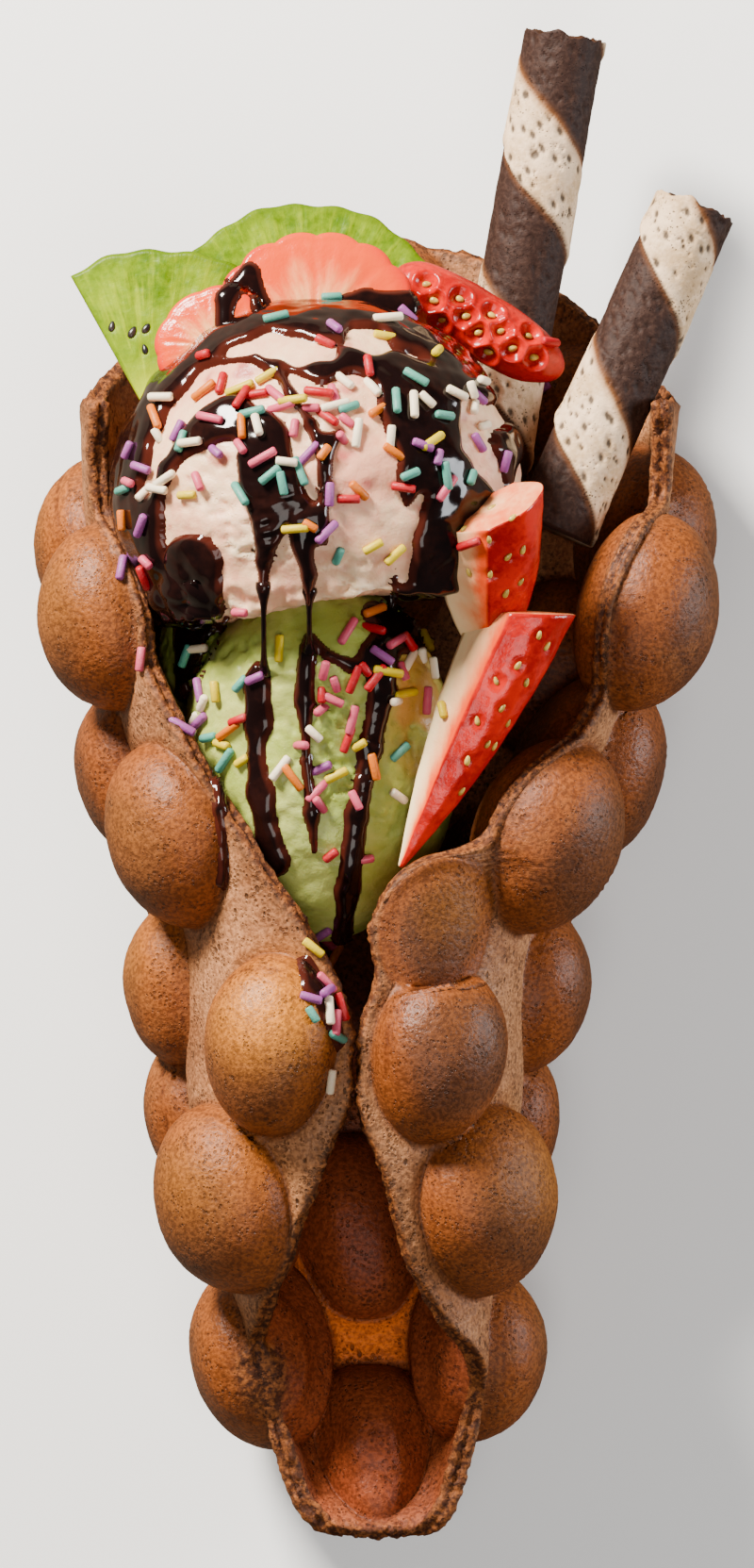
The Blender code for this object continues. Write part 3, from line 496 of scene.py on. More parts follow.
@dataclass
class WaferRolls:
    """The two rolled wafers.

    Attributes:
        radius, bore, bore_depth: outer radius, and radius and depth of the open middle.
        pitch, share, ribbon: the ribbon's pitch, how much of it is cream, and how thick its lap is.
        sides, rings: how fine the wall is.
        gap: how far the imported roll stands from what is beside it.
        pore_spacing, pore_sizes: length of roll for one pore, and the sizes of pores.
        steps: radius, as a share, and drop of each ring of the broken end.
        rolls: foot and head of the axis, and the ribbon's start, of each roll.
    """

    radius: float = 0.0067
    bore: float = 0.0036
    bore_depth: float = 0.012
    pitch: float = 0.0345
    share: float = 0.42
    ribbon: float = 0.00045
    sides: int = 96
    rings: int = 300
    gap: float = 0.00035
    pore_spacing: float = 0.00011
    pore_sizes: tuple[float, ...] = (0.00024, 0.00030, 0.00040, 0.00062)
    steps: tuple[tuple[float, float], ...] = (
        (0.93, 0.0), (0.86, -0.0009), (0.79, 0.0003), (0.72, -0.0010), (0.64, 0.0001), (0.57, -0.0012),
    )
    rolls: tuple[tuple[str, Triple, Triple, float], ...] = (
        ("wafer_roll_back", (0.0168, 0.0212, 0.1560), (0.0334, 0.0212, 0.2480), 0.35),
        ("wafer_roll_front", (0.0312, -0.0040, 0.1660), (0.0547, 0.0010, 0.2190), 0.99),
    )

    def lane(self) -> list[tuple[np.ndarray, np.ndarray, float]]:
        """Foot, head and outer radius of each roll, which the bubbles stay out of."""
        room = self.radius + self.gap + BUBBLE_ROOM
        return [(np.array(foot), np.array(head), room) for _, foot, head, _ in self.rolls]

    def pores(
        self, height: np.ndarray, around: np.ndarray, cream: np.ndarray, seed: int, length: float
    ) -> np.ndarray:
        """How deep the pores are at each point of a roll.

        Args:
            height: heights of the points along the roll.
            around: their angles in radians.
            cream: how far each point is on the cream ribbon.
            seed: the draw's seed.
            length: the roll's length.

        Returns:
            Depths from 0 to 1.
        """
        draw = random.Random(seed)
        depth = np.zeros(height.shape)
        for _ in range(int(length / self.pore_spacing)):
            where, turn = draw.uniform(0.0, length), draw.uniform(0.0, 2.0 * math.pi)
            size = draw.choice(self.pore_sizes)
            row = int(where / length * (self.rings - 1))
            rows = slice(max(row - 7, 0), row + 8)
            side = (around[rows] - turn + math.pi) % (2.0 * math.pi) - math.pi
            lean = (height[rows] - where) * 0.4
            far = np.hypot((height[rows] - where) / (1.5 * size), (side * self.radius + lean) / size)
            depth[rows] = np.maximum(depth[rows], np.exp(-far * far) * (0.75 if size < 0.0004 else 1.0))
        return depth * (0.65 + 0.35 * cream)

    def build_one(self, name: str, foot: Vector, head: Vector, turn: float, seed: int) -> Piece:
        """One roll: the ribbon wound on itself, its pores, and its broken open end.

        Args:
            name: the piece's name.
            foot: the lower end of the axis.
            head: the upper end of the axis.
            turn: where the ribbon starts, in turns.
            seed: the seed of its pores.

        Returns:
            The roll, laid down.
        """
        axis = head - foot
        length = axis.length
        around, height = np.meshgrid(
            np.arange(self.sides) * 2.0 * math.pi / self.sides, np.linspace(0.0, length, self.rings)
        )
        round_points = np.stack([np.cos(around), np.sin(around), height * 60.0], axis=-1).reshape(-1, 3)
        wander = soft_noise(round_points, (1.1, 1.1, 1.0), 3).reshape(height.shape)
        phase = (height / self.pitch + around / (2.0 * math.pi) + turn + 0.012 * wander) % 1.0
        lower = smooth_step(phase, 0.0, 0.018)
        upper = smooth_step(phase, self.share + 0.010, self.share - 0.010)
        cream = lower * upper
        flap = np.exp(-((phase - 0.03) / 0.022) ** 2) + np.exp(-((phase - 1.0) / 0.006) ** 2)
        toast = np.exp(-((phase - self.share) / 0.030) ** 2) + 0.5 * np.exp(-((phase - 0.995) / 0.02) ** 2)
        pores = self.pores(height, around, cream, seed, length)
        radius = self.radius + self.ribbon * cream * (1.0 - 0.6 * phase / self.share)
        radius += 0.00028 * flap * smooth_step(wander, -0.6, 0.5) - 0.00034 * pores + 0.00010 * wander
        ragged = 0.0009 * soft_noise(round_points[-self.sides:] * (1.0, 1.0, 0.0), 2.3, 3)
        height[-1] += ragged
        height[-2] += 0.6 * ragged
        outer = np.stack([radius * np.cos(around), radius * np.sin(around), height], axis=-1).reshape(-1, 3)
        spiral = np.arange(self.sides) * 2.0 * math.pi / self.sides
        inner: list[np.ndarray] = []
        tones = [np.stack([cream.ravel(), pores.ravel(), toast.ravel()], axis=1)]
        for share, drop in self.steps:
            reach = self.radius * share
            rim = length + drop + 0.6 * ragged
            inner.append(np.stack([reach * np.cos(spiral), reach * np.sin(spiral), rim], axis=-1))
        for drop in (0.4, 0.8, 1.0):
            deep = np.full(self.sides, length - self.bore_depth * drop)
            inner.append(np.stack([self.bore * np.cos(spiral), self.bore * np.sin(spiral), deep], axis=-1))
        tones.append(np.tile((0.0, 0.35, 0.25), (self.sides * len(inner), 1)))
        points = np.concatenate([outer, *inner, [[0.0, 0.0, length - self.bore_depth], [0.0, 0.0, 0.0]]])
        tones.append(np.tile((0.0, 0.5, 0.0), (2, 1)))
        faces = tube_faces(self.rings + len(inner), self.sides, 0, (len(points) - 1, len(points) - 2))
        lean = UP.rotation_difference(axis).to_matrix()
        upright = points @ np.array(lean).T + np.array(foot)
        return mesh_piece(name + "_wafer", upright, faces, {"Wafer": np.concatenate(tones)})

    def build(self) -> list[Piece]:
        """Make both rolls."""
        pieces = []
        for seed, (name, foot, head, turn) in enumerate(self.rolls):
            pieces.append(self.build_one(name, Vector(foot), Vector(head), turn, 301 + seed))
        return pieces


@dataclass
class WaffleCone:
    """The waffle: a sheet with bubbles, rolled into a cone that is open down the front.

    Attributes:
        profile: height, centre in X and half width of the sheet's middle surface.
        edges: height, and the angles of the left and the right front edge.
        depths: height and depth of the cone as a share of its width.
        thickness: the sheet's thickness.
        squareness: how square the back of its section is, 1 for a round one.
        back_rise: how far its upper edge rises at the back.
        long, wide, out, inward: half sizes of a usual bubble and how far it stands out and in.
        chord: degrees to each side over which a bubble's width is measured.
        front_column, side_column, back_column: height and angle of each side's bubbles.
        front_angle: the angle past which a bubble is beside the opening.
        middle_heights: heights of the bubbles down the middle of the back.
        middle_low_out, middle_high_out, middle_high_from: how far these stand out, and from what
            height the second value holds.
        extra_bubbles: the bubble at the tip and the one in the right edge.
        front_narrow: how narrow the bubbles beside the opening are.
        fit_step: the steps in which a bubble's inner side is taken back beside the filling.
        widest_angle: the angle that no front edge passes.
        tip_round: how much the tip's corners are rounded.
        rows, columns, rim_steps: how fine the sheet and its rim are.
    """

    profile: tuple[Triple, ...] = (
        (0.0012, 0.0022, 0.0080), (0.0067, 0.0020, 0.0122), (0.0160, 0.0017, 0.0150),
        (0.0307, 0.0009, 0.0186), (0.0384, 0.0003, 0.0195), (0.0563, -0.0012, 0.0226),
        (0.0725, -0.0015, 0.0256), (0.0826, -0.0014, 0.0262), (0.0981, -0.0009, 0.0274),
        (0.1152, 0.0000, 0.0319), (0.1322, 0.0009, 0.0384), (0.1497, 0.0019, 0.0432),
        (0.1663, 0.0023, 0.0462), (0.1865, 0.0025, 0.0477), (0.2131, 0.0026, 0.0490),
    )
    edges: tuple[Triple, ...] = (
        (0.0012, 88.0, 88.0), (0.0206, 92.0, 92.0), (0.0299, 95.0, 113.0), (0.0361, 119.0, 139.0),
        (0.0470, 146.0, 158.0), (0.0532, 156.0, 162.5), (0.0625, 167.0, 169.0), (0.0671, 172.8, 174.0),
        (0.0733, 178.2, 177.6), (0.0826, 178.2, 177.2), (0.0919, 172.4, 171.0), (0.0981, 165.5, 160.0),
        (0.1105, 148.8, 144.0), (0.1182, 140.5, 126.0), (0.1291, 131.0, 119.0), (0.1415, 121.5, 112.0),
        (0.1570, 106.0, 99.0), (0.1700, 102.0, 96.0), (0.1865, 108.0, 103.0),
    )
    depths: tuple[tuple[float, float], ...] = (
        (0.0012, 0.16), (0.0067, 0.62), (0.0160, 0.92), (0.0300, 1.0), (0.0950, 1.0), (0.1600, 0.80),
    )
    thickness: float = 0.0035
    squareness: float = 0.80
    back_rise: float = 0.0266
    long: float = 0.0154
    wide: float = 0.0126
    out: float = 0.0126
    inward: float = 0.0112
    chord: float = 18.0
    front_column: tuple[tuple[float, float], ...] = ((0.1516, 101.0), (0.1159, 114.0), (0.0818, 151.0))
    side_column: tuple[tuple[float, float], ...] = (
        (0.1640, 69.0), (0.1252, 78.0), (0.0904, 80.0), (0.0563, 120.0),
    )
    back_column: tuple[tuple[float, float], ...] = (
        (0.1810, 38.0), (0.1438, 42.0), (0.1074, 46.0), (0.0702, 54.0), (0.0307, 59.0),
    )
    middle_heights: tuple[float, ...] = (0.0508, 0.0880, 0.1252, 0.1624, 0.1996)
    middle_low_out: float = 0.0092
    middle_high_out: float = 0.0050
    middle_high_from: float = 0.110
    extra_bubbles: tuple[Bubble, ...] = (
        Bubble(0.0150, 0.0, 0.0128, 0.0126, 0.0092, 0.0112, 0.0, 0.5, 0.6),
        Bubble(0.1003, -153.0, 0.0125, 0.0098, 0.0030, 0.0100, 0.0, 0.3, 0.0),
    )
    front_angle: float = 140.0
    front_narrow: float = 0.84
    fit_step: float = 0.0006
    widest_angle: float = 178.4
    tip_round: float = 0.0026
    rows: int = 215
    columns: int = 190
    rim_steps: int = 7

    def __post_init__(self) -> None:
        """Sample the curves that the sheet follows."""
        self.centre = SmoothCurve([(row[0], row[1]) for row in self.profile])
        self.half_width = SmoothCurve([(row[0], row[2]) for row in self.profile])
        self.depth_share = SmoothCurve(self.depths)
        self.bubbles = self.place_bubbles()

    def shell(self, height: np.ndarray, angle: np.ndarray) -> np.ndarray:
        """Points of the sheet's middle surface."""
        turn = np.radians(angle)
        half = self.half_width.at(height)
        side, back = np.sin(turn), np.cos(turn)
        behind = back > 0.0
        side = np.where(behind, np.sign(side) * np.abs(side) ** self.squareness, side)
        back = np.where(behind, np.abs(back) ** self.squareness, back)
        depth = half * self.depth_share.at(height) * back
        return np.stack([self.centre.at(height) - half * side, depth, height + 0.0 * back], axis=-1)

    def framed(self, height: np.ndarray, angle: np.ndarray) -> tuple[np.ndarray, np.ndarray]:
        """Points of the middle surface and the outward directions there."""
        up = unit(self.shell(height + 0.0008, angle) - self.shell(np.maximum(height - 0.0008, 0.0), angle))
        side = unit(self.shell(height, angle + 1.5) - self.shell(height, angle - 1.5))
        return self.shell(height, angle), unit(np.cross(side, up))

    def degrees_per_metre(self, height: float, angle: float) -> float:
        """How many degrees round the cone a metre across a bubble is."""
        ends = self.shell(np.array([height, height]), np.array([angle - self.chord, angle + self.chord]))
        return 2.0 * self.chord / float(np.linalg.norm(ends[1] - ends[0]))

    def place_bubbles(self) -> list[Bubble]:
        """Every bubble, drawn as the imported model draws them."""
        draw = random.Random(11)
        look = random.Random(5)
        bubbles = []
        for side in (1.0, -1.0):
            for column in (self.front_column, self.side_column, self.back_column):
                for height, angle in column:
                    grow = draw.uniform(0.96, 1.05)
                    wide = self.wide * grow * (self.front_narrow if angle > self.front_angle else 1.0)
                    shift = draw.uniform(-0.0012, 0.0012)
                    twist = draw.uniform(-9.0, 9.0)
                    # Painted highlight: full on the left side's bubbles beside the opening, where the light falls,
                    # and faint at random elsewhere.
                    highlit = 1.0 if side > 0.0 and angle > self.front_angle else look.uniform(0.0, 0.45)
                    ring = look.choice((0.0, 0.5, 1.0))
                    sizes = (self.long * grow, wide, self.out * grow, self.inward * grow)
                    bubbles.append(Bubble(height + shift, side * angle, *sizes, twist, highlit, ring))
        for height in self.middle_heights:
            out = self.middle_high_out if height > self.middle_high_from else self.middle_low_out
            bubbles.append(Bubble(height, 0.0, self.long, self.wide, out, self.inward, 0.0, 0.2, 0.5))
        return [*bubbles, *self.extra_bubbles]

    def fitted(self, bubble: Bubble, contents: IceCream, rolls: WaferRolls) -> float:
        """How far a bubble can stand inwards beside what fills the cone.

        Args:
            bubble: the bubble.
            contents: the ice cream.
            rolls: the wafer rolls.

        Returns:
            The inward reach that leaves room.
        """
        tilt, around = np.meshgrid(
            np.radians(np.arange(90.0, 181.0, 22.5)), np.radians(np.arange(0.0, 360.0, 30.0))
        )
        along = bubble.long * np.sin(tilt) * np.cos(around)
        across = bubble.wide * np.sin(tilt) * np.sin(around)
        turn = math.radians(bubble.twist)
        up = along * math.cos(turn) - across * math.sin(turn)
        side = along * math.sin(turn) + across * math.cos(turn)
        per_metre = self.degrees_per_metre(bubble.height, bubble.angle)
        base, out = self.framed(np.maximum(bubble.height + up, 0.0), bubble.angle + side * per_metre)
        reach = bubble.inward
        while reach > 0.5 * self.thickness + 0.0002:
            points = (base + out * (reach * np.cos(tilt))[..., None]).reshape(-1, 3)
            blocked = any((np.linalg.norm((points - c) / s, axis=1) < 1.0).any() for c, s in contents.room())
            for foot, head, radius in rolls.lane():
                axis = head - foot
                share = np.clip((points - foot) @ axis / (axis @ axis), 0.0, 1.0)
                far = np.linalg.norm(points - foot - share[:, None] * axis, axis=1)
                blocked = blocked or bool((far < radius).any())
            if not blocked:
                break
            reach -= self.fit_step
        return reach

    def edge_angles(self, side: float) -> SmoothCurve:
        """One front edge of the sheet, drawn out round the bubbles that reach past it.

        Args:
            side: 1 for the left edge and -1 for the right one.

        Returns:
            The edge's angle over the height.
        """
        column = 1 if side > 0.0 else 2
        edge = SmoothCurve([(row[0], row[column]) for row in self.edges])
        heights = edge.places
        angles = edge.values.copy()
        for bubble in self.bubbles:
            if bubble.angle * side < 60.0:
                continue
            per_metre = self.degrees_per_metre(bubble.height, bubble.angle)
            part = np.clip(1.0 - ((heights - bubble.height) / (bubble.long * 1.04)) ** 2, 0.0, 1.0)
            reach = abs(bubble.angle) + bubble.wide * 1.05 * per_metre * np.sqrt(part)
            angles = np.where(part > 0.0, np.maximum(angles, reach), angles)
        step = heights[1] - heights[0]
        kernel = np.exp(-0.5 * (np.arange(-40, 41) * step / 0.0013) ** 2)
        padded = np.pad(angles, 40, mode="edge")
        angles = np.convolve(padded, kernel / kernel.sum(), mode="valid")
        smooth = SmoothCurve([(0.0, 0.0), (1.0, 1.0)], 2)
        smooth.places, smooth.values = heights, np.minimum(angles, self.widest_angle)
        return smooth

    def build(self, contents: IceCream, rolls: WaferRolls) -> Piece:
        """Make the waffle.

        Args:
            contents: the ice cream that the bubbles leave room for.
            rolls: the wafer rolls that the bubbles leave room for.

        Returns:
            The waffle, laid down.
        """
        low, high = self.profile[0][0], self.edges[-1][0]
        share = np.linspace(0.0, 1.0, self.rows + 1)[:, None]
        across = np.linspace(-1.0, 1.0, self.columns + 1)[None, :]
        edge_height = low + (high - low) * share ** 1.15
        left, right = self.edge_angles(1.0).at(edge_height), self.edge_angles(-1.0).at(edge_height)
        edge = np.where(across > 0.0, left, right)
        angle = across * edge
        lift = np.cos(np.radians(np.minimum(np.abs(angle), 90.0))) ** 2
        height = edge_height + self.back_rise * share ** 3 * lift
        height = height + self.tip_round * np.abs(across) ** 5 * (1.0 - share) ** 9
        moved = self.raise_bubbles(height, angle, contents, rolls)
        height, angle, out_lift, in_lift, dome, gold, ring = moved
        base, normal = self.framed(height, angle)
        flat = base.reshape(-1, 3)
        half = 0.5 * self.thickness
        sway = (soft_noise(flat, 55.0, 2) * 0.0005).reshape(height.shape)
        grain = (soft_noise(flat, 420.0, 2) * 0.00010).reshape(height.shape)
        beside, beyond = (1.0 - np.abs(across)) * edge / 2100.0, np.minimum(1.0 - share, share) * (high - low)
        border = np.minimum(beside, beyond)
        crumb = (soft_noise(flat, 900.0, 2) * 0.00035).reshape(height.shape) * np.exp(-border / 0.0022)
        crease = np.exp(-((dome - 1.02) / 0.035) ** 2) * 0.00045
        outside = np.maximum(half, out_lift) - crease - 0.00035 * ring + sway + grain + crumb
        inside = np.maximum(half, in_lift) - crease - sway + grain + crumb
        outer = base + normal * outside[..., None]
        inner = base - normal * inside[..., None]
        count = outer[..., 0].size
        faces = grid_faces(self.rows + 1, self.columns + 1)
        faces += [tuple(reversed(face)) for face in grid_faces(self.rows + 1, self.columns + 1, first=count)]
        tones = self.tones(height, dome, ring, border)
        flat_tone = np.concatenate([tones[0], tones[1]])
        rim_points, rim_tones, rim_faces = self.rim(outer, inner, base, count)
        points = np.concatenate([outer.reshape(-1, 3), inner.reshape(-1, 3), rim_points])
        rim_count = len(rim_points)
        # Painted highlight, fainter on the inner face.
        highlight_rows = np.concatenate([gold.ravel(), 0.4 * gold.ravel(), np.zeros(rim_count)])
        dome_rows = np.concatenate([dome.ravel(), dome.ravel(), np.full(rim_count, 1.3)]) / 1.6
        # Painted glow: a band low on the inner face, where light shines through the sheet.
        glow = smooth_step(height, 0.026, 0.031) * smooth_step(height, 0.052, 0.044)
        glow_rows = np.concatenate([0.0 * gold.ravel(), glow.ravel(), np.zeros(rim_count)])
        look = np.stack([highlight_rows, np.clip(dome_rows, 0.0, 1.0), glow_rows], axis=1)
        tints = {"Tone": np.concatenate([flat_tone, rim_tones]), "Look": look}
        return mesh_piece("waffle_crust", points, faces + rim_faces, tints)

    def raise_bubbles(
        self, height: np.ndarray, angle: np.ndarray, contents: IceCream, rolls: WaferRolls
    ) -> tuple[np.ndarray, ...]:
        """Gather the sheet's points over each bubble, so that its steep sides stay smooth.

        Args:
            height: the points' heights.
            angle: their angles.
            contents: the ice cream.
            rolls: the wafer rolls.

        Returns:
            New heights and angles, outward and inward reach, distance from the bubble's middle in
            its own size, and how strong the painted highlight and how baked each point is.
        """
        near = np.full(height.shape, 9.0)
        second = np.full(height.shape, 9.0)
        new_height, new_angle = height.copy(), angle.copy()
        along_all, across_all = np.zeros(height.shape), np.zeros(height.shape)
        owner = np.zeros(height.shape, int)
        scales = [self.degrees_per_metre(bubble.height, bubble.angle) for bubble in self.bubbles]
        for index, bubble in enumerate(self.bubbles):
            turn = math.radians(bubble.twist)
            up = height - bubble.height
            side = (angle - bubble.angle) / scales[index]
            along = up * math.cos(turn) + side * math.sin(turn)
            across = side * math.cos(turn) - up * math.sin(turn)
            far = np.hypot(along / bubble.long, across / bubble.wide)
            closer = far < near
            second = np.where(closer, near, np.minimum(second, far))
            near = np.where(closer, far, near)
            owner = np.where(closer, index, owner)
            along_all = np.where(closer, along, along_all)
            across_all = np.where(closer, across, across_all)
        free = smooth_step(second - near, 0.0, 0.30)
        pushed = near + free * (np.sin(0.5 * math.pi * np.minimum(near, 1.0)) - near)
        pushed = np.where(near < 1.0, pushed, near)
        factor = np.where(near < 1.0, pushed / np.maximum(near, 1e-6), 1.0)
        dome = np.sqrt(np.clip(1.0 - pushed * pushed, 0.0, 1.0))
        out_lift, in_lift = np.zeros(height.shape), np.zeros(height.shape)
        gold, ring = np.zeros(height.shape), np.zeros(height.shape)
        for index, bubble in enumerate(self.bubbles):
            mine = (owner == index) & (near < 1.25)
            turn = math.radians(bubble.twist)
            along = along_all[mine] * factor[mine]
            across = across_all[mine] * factor[mine]
            up = along * math.cos(turn) - across * math.sin(turn)
            side = along * math.sin(turn) + across * math.cos(turn)
            new_height[mine] = np.maximum(bubble.height + up, 0.0)
            new_angle[mine] = bubble.angle + side * scales[index]
            out_lift[mine] = bubble.out * dome[mine]
            in_lift[mine] = self.fitted(bubble, contents, rolls) * dome[mine]
            # Painted highlight: a yellow patch on the upper part of each bubble, where the light falls.
            warm = ((up - 0.40 * bubble.long) / (0.55 * bubble.long)) ** 2
            warm += ((side - 0.25 * bubble.wide) / (0.70 * bubble.wide)) ** 2
            gold[mine] = bubble.gold * np.exp(-warm)
            facing = 0.5 - 0.5 * np.cos(np.arctan2(across, along) - math.radians(40.0 + 57.0 * index))
            ring[mine] = bubble.ring * facing ** 2 * np.exp(-((pushed[mine] - 0.86) / 0.022) ** 2)
        return new_height, new_angle, out_lift, in_lift, pushed, gold, ring

    def tones(
        self, height: np.ndarray, dome: np.ndarray, ring: np.ndarray, border: np.ndarray
    ) -> tuple[np.ndarray, np.ndarray]:
        """Marks of the outer and the inner face: browned, flat, crumbly edge, and painted shade deep inside.

        Args:
            height: the points' heights.
            dome: how far they are from their bubble's middle.
            ring: how baked they are.
            border: how far they are from the sheet's edge.

        Returns:
            One row of four values a point, for the outer and for the inner face.
        """
        flat = smooth_step(dome, 0.97, 1.05)
        crease = np.exp(-((dome - 1.01) / 0.040) ** 2)
        browned = np.clip(0.55 * crease + 0.9 * ring, 0.0, 1.0)
        edge = np.exp(-border / 0.0016)
        # Painted shade: the inner face darkens towards the tip, deep inside the cone.
        deep = smooth_step(height, 0.115, 0.060)
        rows = (browned.ravel(), flat.ravel(), edge.ravel())
        outer = np.stack([*rows, np.zeros(height.size)], axis=1)
        inner = np.stack([*rows, deep.ravel()], axis=1)
        return outer, inner

    def rim(
        self, outer: np.ndarray, inner: np.ndarray, base: np.ndarray, count: int
    ) -> tuple[np.ndarray, np.ndarray, list[tuple[int, ...]]]:
        """The crumbly, two-layered rim that joins the outer and the inner face.

        Args:
            outer: points of the outer face.
            inner: points of the inner face.
            base: points of the middle surface.
            count: how many points one face has.

        Returns:
            The rim's own points, their tones and its faces.
        """
        last_row, last_column = self.rows, self.columns
        loop = [(0, column) for column in range(last_column)]
        loop += [(row, last_column) for row in range(last_row)]
        loop += [(last_row, last_column - column) for column in range(last_column)]
        loop += [(last_row - row, 0) for row in range(last_row)]
        row, column = np.array(loop).T
        away = unit(base[row, column] - base[np.clip(row, 2, last_row - 2), np.clip(column, 2, last_column - 2)])
        start, end = outer[row, column], inner[row, column]
        points, tones = [], []
        for step in range(1, self.rim_steps):
            share = step / self.rim_steps
            place = start + (end - start) * share
            bulge = 0.0011 * math.sin(math.pi * share) - 0.0013 * math.exp(-(((share - 0.5) / 0.13) ** 2))
            rough = soft_noise(place, 700.0, 3) * 0.00065 + soft_noise(place, 160.0, 1) * 0.0005
            points.append(place + away * (bulge + rough)[:, None])
            groove = math.exp(-(((share - 0.5) / 0.16) ** 2))
            tones.append(np.tile((0.35 + 0.65 * groove, 0.0, 1.0, 0.0), (len(loop), 1)))
        first = 2 * count
        numbers = [row * (last_column + 1) + column]
        numbers += [first + step * len(loop) + np.arange(len(loop)) for step in range(self.rim_steps - 1)]
        numbers.append(count + row * (last_column + 1) + column)
        faces = []
        for near, far in zip(numbers, numbers[1:]):
            near_next, far_next = np.roll(near, -1), np.roll(far, -1)
            faces += [tuple(face) for face in np.stack([near, far, far_next, near_next], axis=1).tolist()]
        return np.concatenate(points), np.concatenate(tones), faces


